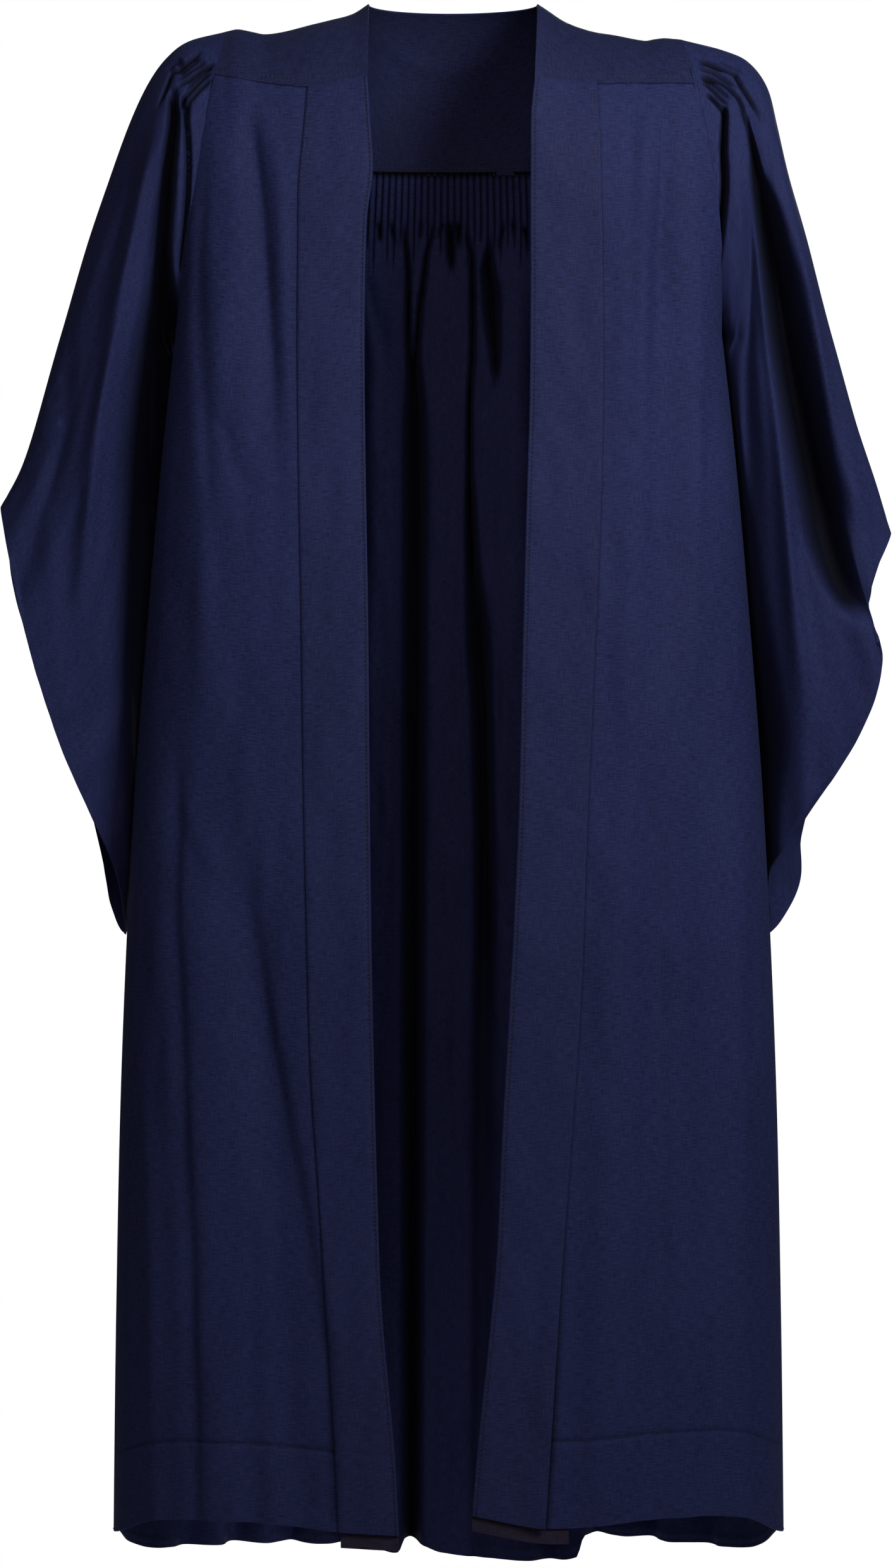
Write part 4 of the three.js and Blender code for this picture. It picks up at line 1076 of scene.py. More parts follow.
def build_yoke():
    columns = np.linspace(0, 1, YOKE_COLUMNS + 1)
    spread = np.sin(np.linspace(0, math.pi / 2, NECK_STEPS + 1)[:-1])
    sheet = Sheet()
    rows, lines = [], {"back": [], "right": [], "left": []}
    bottom = BACK_SEAM_Z + SEAM_GAP / 2
    for sink in np.linspace(0, 1, YOKE_BACK_STEPS + 1):
        parts = [
            [each[::-1] for each in yoke_row("right", columns, "back", sink, bottom)],
            [each[::-1] for each in neck_row("right", spread, sink, bottom)],
            [each[1:] for each in neck_row("left", spread, sink, bottom)],
            yoke_row("left", columns, "back", sink, bottom),
        ]
        base, out = (np.concatenate(kind) for kind in zip(*parts))
        rows.append((raise_yoke(base, out, "back") if sink else base, out))
    points, outs = (np.stack(kind) for kind in zip(*rows))
    flat = flat_places(points)
    made_rows = sheet.grid(points, outs, YOKE_THICK, flat)
    lines["back"] = (points, outs)
    width = YOKE_COLUMNS + 1
    for side in SIDES:
        picked = slice(0, width) if side == "right" else slice(-width, None)
        shift = read(FRONT_SEAM, columns, side)
        front = [(points[0][picked], outs[0][picked])]
        for sink in np.linspace(0, 1, YOKE_FRONT_STEPS + 1)[1:]:
            base, out = yoke_row(side, columns, "front", sink, FRONT_SEAM_Z + shift + SEAM_GAP / 2)
            raised = raise_yoke(base, out, "front")
            order = slice(None, None, -1) if side == "right" else slice(None)
            front.append((raised[order], out[order]))
        front_points, front_outs = (np.stack(kind) for kind in zip(*front))
        front_flat = flat_places(front_points)
        front_flat[..., 0] += (flat[0][picked] - front_flat[0])[None, :, 0]
        front_flat[..., 1] = -front_flat[..., 1]
        last = (made_rows[0][0][picked], made_rows[0][1][picked])
        thick = YOKE_THICK + 0 * front_points[..., 0]
        for row in zip(front_points[1:], front_outs[1:], thick[1:], front_flat[1:]):
            current = sheet.row(*row)
            sheet.lace(current, last)
            last = current
        lines[side] = (front_points, front_outs)
    made = sheet.piece("yoke_cloth", yoke_cloth)
    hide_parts("yoke")
    return made, lines


yoke, yoke_lines = build_yoke()

# %% [markdown]
# ## Back
#
# The back is far wider than the yoke. Its fullness is drawn up on two gathering threads
# into fine round tubes just under the seam. A hand's breadth lower the tubes let go, at
# uneven heights, into deep folds that run to the hem.

# %% Folds of the back
BACK_FOLDS = table(
    "top hem width height",
    (-160, -203, 9, 13), (-129, -166, 8.5, 20), (-98, -126, 7, 17), (-70, -84, 8, 21),
    (70, 82, 9, 19), (98, 119, 7, 18), (128, 158, 8.5, 21), (157, 201, 9, 14),
)
BACK_POCKETS = [
    ([(-55.5, -139), (-55.5, -158)], 7, 2, 2.4, (0.1, 0.7)),
    ([(-46.5, -139), (-44.5, -149), (-39, -163)], 5, 2, 2.4, (0.1, 0.7)),
    ([(-22, -138), (-23.5, -154)], 5, 1.8, 2.2, (0.1, 0.7)),
    ([(-5, -139), (-9, -155)], 5, 1.8, 2.2, (0.1, 0.7)),
    ([(0, -136), (1, -152), (2, -163), (3, -184)], 9, 3, 3.4, (0.15, 0.5)),
    ([(8, -138), (7.6, -163)], 7, 2, 2.4, (0.1, 0.6)),
    ([(44, -139), (41.5, -153), (39, -166)], 6, 2, 2.2, (0.1, 0.7)),
    ([(51.5, -136), (52, -152)], 6, 2, 2.4, (0.1, 0.7)),
    ([(60, -140), (62.6, -156), (65, -166)], 6, 1.7, 2, (0.1, 0.7)),
]
BACK_CREASES = [
    ([(-65, -178), (-54, -250)], 3.4, 3, 6, (0.3, 0.4)),
    ([(0, -260), (-2, -620), (2, -1215)], -1.4, 12, 12, (0.2, 0.001)),
    ([(-47, -260), (-50, -700), (-52, -1215)], -1.6, 11, 12, (0.2, 0.001)),
    ([(52, -360), (54, -700), (56, -1215)], -2.2, 9, 9, (0.2, 0.001)),
    ([(-84, -170), (-96, -600), (-102, -1215)], -3.0, 7, 10, (0.2, 0.001)),
    ([(78, -170), (88, -600), (92, -1215)], -3.2, 9, 7, (0.2, 0.001)),
    ([(-114, -168), (-134, -560), (-147, -1215)], -3.2, 8, 8, (0.2, 0.001)),
    ([(110, -168), (126, -560), (136, -1215)], -3.0, 7, 9, (0.2, 0.001)),
    ([(-146, -180), (-170, -640), (-186, -1215)], -2.8, 7, 7, (0.2, 0.001)),
    ([(143, -180), (166, -640), (180, -1215)], -2.8, 7, 7, (0.2, 0.001)),
    ([(-72, -320), (-62, -430), (-56, -520)], 2.4, 5, 9),
    ([(60, -420), (50, -540), (46, -640)], 2.2, 9, 5),
    ([(-110, -640), (-98, -760), (-92, -900)], 2.6, 9, 6),
    ([(104, -700), (96, -830), (90, -960)], 2.4, 6, 9),
]
BACK_TRENCHES = [
    table(
        "z x left right depth",
        (-1215, -29.3, 6.5, 6.5, 30), (-700, -28, 7, 7, 32), (-400, -26.5, 7.5, 7.5, 33),
        (-300, -26.5, 7.2, 7.2, 32), (-262, -27, 5.5, 5.5, 24), (-240, -27.5, 3.5, 3.5, 8),
        (-225, -28, 3, 3, 0),
    ),
    table(
        "z x left right depth",
        (-275, -30, 2.5, 2.5, 0), (-262, -31, 2.5, 2.5, 10), (-225, -32, 2.6, 2.6, 16),
        (-180, -32, 2.4, 2.4, 15), (-165, -33, 2.3, 2.3, 13), (-150, -35, 2, 2, 9),
        (-138, -35, 1.8, 1.8, 0),
    ),
    table(
        "z x left right depth",
        (-278, -27, 3, 3, 0), (-263, -27, 3, 3, 12), (-243, -25.3, 2.9, 2.9, 16),
        (-212, -23.2, 2.7, 2.7, 16), (-192, -20.7, 2.6, 2.6, 15), (-177, -18.7, 2.5, 2.5, 14),
        (-164, -17.2, 2.3, 2.3, 12), (-156, -15.2, 2.2, 2.2, 10), (-147, -13.1, 2, 2, 8),
        (-137, -15.7, 2, 2, 0),
    ),
    table(
        "z x left right depth",
        (-480, 22, 3, 3, 0), (-414, 19.2, 3, 3, 15), (-364, 17.7, 2.9, 2.9, 16),
        (-334, 16.7, 2.8, 2.8, 16), (-273, 17.2, 2.6, 2.6, 16), (-243, 19.2, 2.6, 2.6, 16),
        (-177, 19.2, 2.6, 2.6, 15), (-163, 18.2, 2.4, 2.4, 12), (-154, 15.7, 2.2, 2.2, 10),
        (-138, 14.6, 2, 2, 0),
    ),
    table(
        "z x left right depth",
        (-1215, 24, 7, 10, 5), (-800, 27, 7, 10, 9), (-680, 28, 6.5, 9, 15), (-620, 28, 6, 7.5, 26),
        (-540, 27, 6.5, 7, 30), (-467, 24, 7.5, 7, 32), (-414, 19.5, 4.8, 5, 27),
        (-364, 17.5, 3.8, 4, 20), (-335, 17, 3, 3, 0),
    ),
    table(
        "z x left right depth",
        (-270, 38.3, 1.8, 1.8, 0), (-243, 37.4, 3.8, 3.8, 21), (-212, 35.1, 5.6, 5.6, 27),
        (-192, 34.4, 5.8, 5.8, 27), (-177, 32, 5, 5, 23), (-160, 32.5, 3, 3, 10),
        (-147, 33.5, 2, 2, 0),
    ),
]
BACK_HEM_SHAPE = table(
    "x rise",
    (-262, 42), (-252, 25), (-232, 16), (-119, 14), (-60, 9), (-41, 5), (-36, 15), (-5, 5),
    (58, -1), (103, 2), (109, 19), (172, 17), (232, 16), (250, 24), (262, 42),
)
HEM_HALF = 262
BACK_PLAIN_SHARE, BACK_FLUTES, FLUTE_STEPS, PLAIN_STEPS = 0.06, 68, 8, 8
BACK_CALM_EDGE, CROWDING = 0.06, 0.32
FLUTE_RELIEF, FLUTE_SHARPNESS, FLUTE_MIDDLE, FLUTE_DRAWN_IN = 2.5, 2.2, 0.7, 0.72
# Painted shade in the gaps between tubes, in pockets and at the seam, and its strength
FLUTE_SHADE, PAINTED_SHADE_STRENGTH, POCKET_SHADE_DEPTH, SEAM_PAINTED_SHADE = 1.15, 0.96, 5, 0.7
LOOSE_FROM, LOOSE_UNTIL = 10, 46
BACK_FINE_END_Z, BACK_FINE_ROWS, BACK_LOW_ROWS = -190, 23, 125
BACK_HEM_RISE = 66
back_letting_go = np.random.default_rng(5).uniform(LOOSE_FROM, LOOSE_UNTIL, BACK_FLUTES + 2)
print(len(BACK_FOLDS["top"]), "deep folds,", len(BACK_CREASES), "creases and", BACK_FLUTES, "tubes")


# %% Shape of the back
def back_base(place, z):
    share = np.abs(place)
    halves = {side: body_point(side, "back", edge_x(side, z) * share, z) for side in SIDES}
    outs = {side: out_of_body(side, halves[side]) for side in SIDES}
    on_right = (place < 0)[..., None]
    return (
        np.where(on_right, halves["right"], halves["left"]),
        np.where(on_right, outs["right"], outs["left"]),
    )


def even_places(shares, level):
    """Places across the back, from -1 to 1, at shares of its length along the cloth."""
    slide = np.sin(np.linspace(-math.pi / 2, math.pi / 2, 1201))
    line, _ = back_base(slide, level + 0 * slide)
    return np.interp(shares, even(line), slide)


def flute_height(shares, z):
    """Height of the gathered tubes, and the painted shade that darkens the gaps between them."""
    phase = (shares - BACK_PLAIN_SHARE) / (1 - 2 * BACK_PLAIN_SHARE) * BACK_FLUTES
    tube = np.clip(np.round(phase).astype(int), 0, BACK_FLUTES)
    inside = (phase >= 0) & (phase <= BACK_FLUTES)
    letting_go = back_letting_go[tube]
    strength = 1 - ease(FLUTE_END_Z - z, -6, letting_go)
    draw = mix(FLUTE_DRAWN_IN, 1, ease(BACK_SEAM_Z - z, 0, 9))
    gap = (0.5 + 0.5 * np.cos(2 * math.pi * phase)) ** FLUTE_SHARPNESS
    height = (2 * gap - FLUTE_MIDDLE) * strength * draw * FLUTE_RELIEF
    painted_shade = np.minimum(1, FLUTE_SHADE * gap) * strength
    return np.where(inside, height, 0), np.where(inside, painted_shade, 0)


def back_points(shares, level):
    fine = even_places(shares, float(BACK_SEAM_Z))
    coarse = even_places(shares, float(EVEN_Z))
    coarse = coarse * mix(1, coarse**2, CROWDING)
    settle = ease(-level, -FLUTE_END_Z - 14, -UNDERARM_Z + 60)
    place = mix(fine, coarse, settle)
    hem_share = 1 - ease(level, BACK_HEM_Z, BACK_HEM_Z + BACK_HEM_BEND_RISE)
    z = mix(level, BACK_HEM_Z + read(BACK_HEM_SHAPE, place * HEM_HALF, "rise"), hem_share)
    z = z - np.where(level == BACK_SEAM_Z, SEAM_GAP / 2, 0)
    base, out = back_base(place, z)
    base[..., 1] += np.where((np.abs(place) >= 1) & (z <= UNDERARM_Z), SEAM_GAP / 2, 0)
    calm = ease(1 - np.abs(place), 0, BACK_CALM_EDGE)
    share = (BACK_SEAM_Z - z) / (BACK_SEAM_Z - BACK_HEM_Z)
    swell = ease(-z, -FLUTE_END_Z, FULL_FOLDS_DEPTH)
    height = np.zeros(z.shape)
    for top, hem, width, tall in zip(*BACK_FOLDS.values()):
        across = (base[..., 0] - mix(top, hem, share)) / (width * mix(0.85, 1.15, share))
        height += tall * swell * np.exp(-(across**2))
    height = height + folds(base[..., 0], z, BACK_CREASES)
    pockets = folds(base[..., 0], z, BACK_POCKETS)
    slight = unrest(31, 26, 0.34, base[..., 0], z, 34, 170)
    height = height + pockets + slight * ease(-z, -FLUTE_END_Z, 260)
    height = height + hem_line(level, BACK_HEM_RISE, BACK_HEM_Z)
    # Painted shade from the gaps between tubes, the pockets and the trenches
    tubes, painted_shade = flute_height(shares, z)
    painted_shade = np.maximum(painted_shade, np.clip(pockets / POCKET_SHADE_DEPTH, 0, 1))
    for rows in BACK_TRENCHES:
        depth, trench_shade = trench(base[..., 0], z, rows)
        height, painted_shade = height + depth, np.maximum(painted_shade, trench_shade)
    height = (height + tubes) * calm
    return base + out * height[..., None], out, painted_shade * PAINTED_SHADE_STRENGTH


def build_back():
    plain = np.linspace(0, BACK_PLAIN_SHARE, PLAIN_STEPS + 1)[:-1]
    flutes = np.linspace(BACK_PLAIN_SHARE, 1 - BACK_PLAIN_SHARE, BACK_FLUTES * FLUTE_STEPS + 1)
    shares = np.concatenate([plain, flutes, (1 - plain)[::-1]])
    low_shares = shares[::2]
    top_levels = np.linspace(BACK_SEAM_Z, BACK_FINE_END_Z, BACK_FINE_ROWS + 1)[:, None]
    low_levels = np.linspace(BACK_FINE_END_Z, BACK_HEM_Z, BACK_LOW_ROWS + 1)[1:, None]
    points, out, painted_shade = back_points(shares + 0 * top_levels, top_levels + 0 * shares)
    low, low_out, low_painted_shade = back_points(low_shares + 0 * low_levels, low_levels + 0 * low_shares)
    every = flat_places(np.concatenate([points[:, ::2], low]))
    top_flat = flat_places(points)
    low_flat = every[len(points):]
    places = even_places(shares, float(BACK_SEAM_Z))
    edge_rows = [back_base(places, BACK_SEAM_Z + rise + 0 * shares) for rise in ALLOWANCE_RISES]
    edge_points = np.stack([base - way * ALLOWANCE_DEPTH for base, way in edge_rows])
    edge_outs = np.stack([way for base, way in edge_rows])
    edge_flat = np.stack([top_flat[0] + np.array([0, rise]) for rise in ALLOWANCE_RISES])
    points, out = np.concatenate([edge_points, points]), np.concatenate([edge_outs, out])
    sheet = Sheet()
    top_rows = sheet.grid(points, out, CLOTH_THICK, np.concatenate([edge_flat, top_flat]))
    low_rows = sheet.grid(low, low_out, CLOTH_THICK, low_flat)
    sheet.lace(top_rows[-1], low_rows[0])
    # Painted shade inside: the tucked allowance is black and the seam row dark
    seam_painted_shade = np.ones(len(edge_rows) * len(shares))
    painted_shade[0] = np.maximum(painted_shade[0], SEAM_PAINTED_SHADE)
    sheet.painted_shade["inside"] = np.concatenate([seam_painted_shade, painted_shade.ravel(), low_painted_shade.ravel()])
    made = sheet.piece("back_cloth", cloth)
    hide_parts("back")
    return made


back = build_back()

# %% [markdown]
# ## Sleeves
#
# Each sleeve is a wide open cone, gathered into the armhole in front and behind in the
# same fine tubes, and cut at a slant so that it ends in a hanging point. Gravity pulls
# its folds from the shoulder down to that point, with one deep valley beside the body.

# %% Sizes of the sleeves
SLEEVE_TUCK_Y, SLEEVE_CLEARANCE, CLEARANCE_RISE, MOUTH_START = 38, 0.8, 0.02, 0.7
CLING, CLING_START = 13, 16
HEAD_START, HEAD_END, HEAD_COLUMNS = 22, 64, 76
# Depth, width and painted shade of the valleys between the tubes of a sleeve head
HEAD_DEPTH, HEAD_WIDTH, HEAD_SHADE = 3.6, 1.8, 0.8
SLEEVE_HEM_SHARE, SLEEVE_HEM_LINE, SLEEVE_HEM_THICK, TUCKED_IN = 0.975, 0.4, 0.5, 1.6
SLEEVES = {
    "right": table(
        "share over_x over_z under_x under_z half tuck",
        (0, 172, -2.2, 211, -240, 75, 0), (0.07, 201, -10, 216, -252, 79, 0.1),
        (0.14, 218, -23, 218, -272, 80, 0.4), (0.22, 233, -43, 217, -302, 79, 0.8),
        (0.3, 247, -72, 217, -338, 77, 1), (0.4, 263, -115, 220, -384, 74, 1),
        (0.52, 281, -168, 225, -440, 70, 1), (0.66, 300, -238, 232, -510, 66, 1),
        (0.8, 318, -300, 239, -585, 62, 1), (0.9, 332, -340, 247, -650, 60, 1),
        (1, 348, -371, 258, -704, 58, 0.9),
    ),
    "left": table(
        "share over_x over_z under_x under_z half tuck",
        (0, 180, -8.5, 211, -240, 75, 0), (0.07, 213, -17, 216, -252, 79, 0.1),
        (0.14, 233, -26, 218, -272, 80, 0.4), (0.22, 247, -46, 217, -302, 79, 0.8),
        (0.3, 255, -76, 217, -338, 77, 1), (0.4, 265, -116, 220, -384, 74, 1),
        (0.52, 280, -170, 225, -440, 70, 1), (0.66, 298, -240, 232, -510, 66, 1),
        (0.8, 316, -304, 239, -585, 62, 1), (0.9, 333, -354, 247, -650, 60, 1),
        (1, 344, -391, 256, -704, 58, 0.9),
    ),
}
SLEEVE_FOLDS = {
    "right": [
        ("front", 0.08, 0.2, 0.95, 0.5, 20, 10), ("front", 0.07, 0.3, 0.62, 0.84, 16, -8),
        ("front", 0.07, 0.42, 0.3, 0.8, 12, 4), ("front", 0.6, 0.12, 1, 0.2, 18, -4),
        ("back", 0.08, 0.22, 0.9, 0.45, 18, 10), ("back", 0.08, 0.36, 0.8, 0.75, 15, -16),
        ("back", 0.35, 0.2, 1, 0.3, 17, -8),
    ],
    "left": [
        ("front", 0.08, 0.3, 1, 0.72, 20, 8), ("front", 0.07, 0.42, 0.7, 0.9, 18, -5),
        ("front", 0.09, 0.2, 0.92, 0.36, 18, -5), ("front", 0.12, 0.06, 0.8, 0.14, 16, 7),
        ("back", 0.08, 0.26, 0.9, 0.5, 18, 11), ("back", 0.08, 0.4, 0.85, 0.78, 14, -16),
        ("back", 0.3, 0.12, 1, 0.2, 16, -9),
    ],
}
MOUTHS = {
    "right": table(
        "across front back",
        (0, 0, 0), (0.3, 5, 2), (0.55, 2, -2), (0.8, -9, 0), (0.92, -6, 2), (1, 0, 0),
    ),
    "left": table(
        "across front back",
        (0, 0, 0), (0.17, -5, 0), (0.32, 19, 4), (0.5, 16, 2), (0.75, -8, 2), (0.88, -14, 10),
        (1, 0, 0),
    ),
}
reach_out = SLEEVES["left"]["over_x"][-1] - SLEEVES["left"]["over_x"][0]
print("a sleeve is", reach_out, "mm out at the mouth")

# %% Creases of the sleeves, as they lie seen from the front
SLEEVE_CREASES = {
    ("right", "front"): [
        ([(-216, -62), (-234, -177), (-248, -226), (-268, -323), (-273, -470), (-276, -560)],
         5.5, 17, 13, (0.1, 0.3)),
        ([(-204, -80), (-207, -177), (-208, -199)], 3, 4, 4, (0.15, 0.3)),
        ([(-293, -262), (-312, -296)], -1.8, 3, 6), ([(-299, -304), (-319, -318)], 1.8, 3, 6),
        ([(-246, -491), (-238, -528)], 1.8, 3, 5),
        ([(-232, -58), (-256, -150), (-284, -260), (-306, -360)], -1.8, 9, 12, (0.15, 0.4)),
        ([(-262, -330), (-284, -430), (-292, -500)], -1.2, 8, 12),
        ([(-318, -330), (-306, -420), (-296, -540)], 1.6, 9, 9, (0.3, 0.05)),
        ([(-256, -560), (-250, -640), (-254, -700)], 2, 5, 6, (0.3, 0.05)),
    ],
    ("left", "front"): [
        ([(220, -72), (228, -177), (244, -323), (266, -469), (284, -567)], 5, 9, 11, (0.1, 0.2)),
        ([(237, -55), (270, -201), (306, -348), (328, -396)], 4.5, 9, 11, (0.15, 0.1)),
        ([(232, -93), (244, -124), (256, -150)], 1.8, 1.5, 3, (0.15, 0.4)),
        ([(256, -60), (284, -170), (318, -280), (336, -350)], -1.4, 8, 10),
        ([(250, -520), (254, -600), (252, -690)], 1.4, 6, 8, (0.3, 0.05)),
    ],
    ("right", "back"): [
        ([(-206, -70), (-216, -190), (-232, -330), (-246, -480)], -5, 8, 6, (0.1, 0.4)),
        ([(-226, -60), (-250, -180), (-280, -320), (-296, -440)], 3, 8, 10, (0.15, 0.3)),
        ([(-246, -90), (-276, -220), (-306, -330)], -3, 6, 9),
        ([(-300, -300), (-310, -380), (-306, -480)], -2.4, 6, 8),
        ([(-262, -420), (-270, -520), (-262, -640)], 2.6, 7, 7),
    ],
    ("left", "back"): [
        ([(208, -70), (218, -190), (234, -330), (248, -480)], -5, 6, 8, (0.1, 0.4)),
        ([(230, -60), (254, -180), (282, -320), (298, -440)], 3, 10, 8, (0.15, 0.3)),
        ([(250, -90), (280, -220), (310, -340)], -3, 9, 6),
        ([(302, -310), (312, -390), (306, -490)], -2.4, 8, 6),
        ([(260, -430), (268, -530), (260, -650)], 2.6, 7, 7),
    ],
}
SLEEVE_STEPS = 150

# Trenches in the front of each sleeve, by their distance from the middle of the gown
SLEEVE_TRENCHES = {
    "right": [
        table(
            "z x left right depth",
            (-704, 249, 30, 6, 0), (-660, 247, 30, 6, 12), (-591, 243, 30, 9, 30),
            (-520, 238, 30, 12, 38), (-455, 232, 30, 18, 42), (-390, 229, 30, 20, 44),
            (-330, 226, 30, 22, 44),
            (-274, 222, 30, 20, 42), (-230, 219, 12, 14, 36), (-187, 218.7, 5, 7, 30),
            (-128, 214.8, 4.4, 5.2, 25), (-79, 210.4, 3.8, 4.4, 20), (-62, 211, 3.4, 3.8, 9),
            (-50, 212, 3, 3, 0),
        ),
        table(
            "z x left right depth",
            (-196, 205, 1.6, 1.6, 0), (-186, 204.5, 1.8, 1.8, 9), (-153, 201, 2, 2, 10),
            (-116, 199, 2, 2, 10), (-89, 200, 2, 2, 10), (-66, 203, 1.8, 1.8, 7),
            (-58, 204, 1.6, 1.6, 0),
        ),
    ],
    "left": [
        table(
            "z x left right depth",
            (-192, 206, 1.6, 1.6, 0), (-180, 206.5, 2, 2, 14), (-159, 208.4, 2.4, 2.4, 18),
            (-130, 210.7, 2.4, 2.4, 18), (-101, 210, 2.4, 2.4, 18), (-75, 211.4, 2.2, 2.2, 14),
            (-65, 211, 2, 2, 0),
        ),
        table(
            "z x left right depth",
            (-680, 258, 30, 3, 0), (-610, 250, 30, 8, 26), (-560, 245, 30, 13, 40),
            (-518, 240, 30, 14, 40), (-455, 235, 30, 11, 32), (-380, 229, 30, 8, 24),
            (-300, 221, 30, 5.5, 18), (-255, 216, 20, 4, 8), (-235, 213, 10, 3, 0),
        ),
        table(
            "z x left right depth",
            (-462, 318, 8, 10, 0), (-435, 304, 11, 12, 20), (-400, 293, 14, 14, 32),
            (-372, 287, 14, 16, 36), (-330, 277, 13, 17, 38), (-287, 268, 12, 17, 38),
            (-244, 259, 11, 17, 37),
            (-201, 251, 9, 17, 35), (-177, 246, 7, 15, 33), (-150, 241, 5.5, 12, 30),
            (-123, 236, 3.8, 7, 24), (-100, 233, 2.5, 3.5, 16), (-82, 229.5, 2, 2, 6),
            (-70, 228, 2, 2, 0),
        ),
    ],
}
BEHIND_SHARE, LAYERS_APART = 0.45, 8
OTHER = {"right": "left", "left": "right"}

# Valleys between the tubes of a sleeve head: how deep, as a share, and their line
HEAD_VALLEYS = {
    "right": [
        (0.7, [(-206, -27), (-212, -32), (-217, -37)]),
        (0.8, [(-204, -29), (-209, -33)]),
        (1.3, [(-189, -21), (-197, -27), (-202, -31), (-208, -37), (-213, -39), (-215, -46),
               (-218, -54), (-222, -64), (-224, -72)]),
        (1.0, [(-191, -27), (-200, -34), (-205, -39), (-209, -42)]),
        (1.0, [(-187, -30), (-196, -36), (-201, -40), (-207, -45), (-209, -47)]),
        (1.1, [(-179, -33), (-189, -36), (-196, -42), (-200, -46), (-205, -49), (-212, -54)]),
        (0.9, [(-180, -36), (-185, -37), (-191, -42), (-196, -47), (-200, -53), (-202, -57)]),
        (1.2, [(-181, -39), (-186, -42), (-191, -47), (-196, -53), (-201, -59), (-204, -64),
               (-206, -78)]),
        (1.2, [(-182, -44), (-186, -49), (-191, -54), (-195, -59), (-199, -64), (-200, -72),
               (-201, -87)]),
    ],
    "left": [
        (0.5, [(209, -29), (222, -36), (226, -41)]),
        (1.3, [(189, -28), (194, -28), (202, -31), (212, -36), (220, -40), (225, -50), (231, -59),
               (238, -71), (242, -83)]),
        (0.5, [(191, -31), (198, -32), (207, -36), (214, -39)]),
        (1.0, [(192, -35), (202, -38), (210, -43), (217, -48), (222, -52)]),
        (1.2, [(192, -40), (202, -44), (209, -47), (214, -51), (218, -55), (222, -59), (225, -66),
               (227, -76), (230, -85), (233, -95)]),
        (1.0, [(192, -43), (196, -44), (202, -47), (208, -53), (213, -58), (217, -64)]),
        (1.1, [(194, -48), (197, -48), (202, -53), (207, -59), (212, -64), (215, -69)]),
        (1.3, [(197, -56), (203, -62), (207, -67), (210, -71), (211, -76), (210, -89)]),
    ],
}
print(sum(map(len, SLEEVE_CREASES.values())), "creases on the sleeves")


# %% Shape of the sleeves
def head_angles():
    """Angles of the columns round an armhole, closest together where its tubes are."""
    start, end, full = math.radians(HEAD_START), math.radians(HEAD_END), 2 * math.pi
    spans = (
        (0, start, 12), (start, end, HEAD_COLUMNS), (end, full - end, 84),
        (full - end, full - start, HEAD_COLUMNS), (full - start, full, 12),
    )
    return np.concatenate([np.linspace(low, high, count + 1)[:-1] for low, high, count in spans])


def even_angles(count, reach, half):
    turn = np.linspace(0, 2 * math.pi, 721)
    ring = np.stack([reach * np.cos(turn), half * np.sin(turn)], -1)
    return np.interp(np.linspace(0, 1, count + 1)[:-1], even(ring), turn)


def head_valleys(side, front, x, z):
    """Valleys in front as they lie seen from there, and behind those of the other sleeve."""
    other = OTHER[side]
    height = np.zeros(x.shape)
    for seen, source, turn in ((front, side, 1), (~front, other, -1)):
        for share, line in HEAD_VALLEYS[source]:
            valley = fold_field(x * turn, z, line, share, HEAD_WIDTH, HEAD_WIDTH, (0.12, 0.3))
            height += np.where(seen, valley, 0)
    return height


def sleeve_trenches(side, front, x, z):
    """Depths of the trenches in front, and shallower ones like the other sleeve's behind."""
    other = OTHER[side]
    depth, painted_shade = np.zeros(x.shape), np.zeros(x.shape)
    for seen, source, strength in ((front, side, 1), (~front, other, BEHIND_SHARE)):
        for rows in SLEEVE_TRENCHES[source]:
            deep, trench_shade = trench(x, z, rows)
            depth = np.where(seen, np.maximum(depth, deep * strength), depth)
            painted_shade = np.where(seen, np.maximum(painted_shade, trench_shade * strength), painted_shade)
    return depth, painted_shade


def fold_fade(share, ease_in, ease_out):
    return ease(share, 0, ease_in) * (1 - ease(share, 1 - ease_out, 1))


def sleeve_folds(side, front, across, down, length):
    height = np.zeros(across.shape)
    calm = ease(across, 0, 0.08) * (1 - ease(across, 0.9, 1))
    for layer, start, at, end, at_end, width, tall in SLEEVE_FOLDS[side]:
        share = (down - start) / (end - start)
        shown = (share > 0) & (share <= 1) & (front == (layer == "front"))
        off = (across - mix(at, at_end, share)) * length / width
        fade = fold_fade(share, 0.25, 0.001 if end == 1 else 0.3)
        height += np.where(shown, tall * fade * calm * np.exp(-(off**2)), 0)
    return height


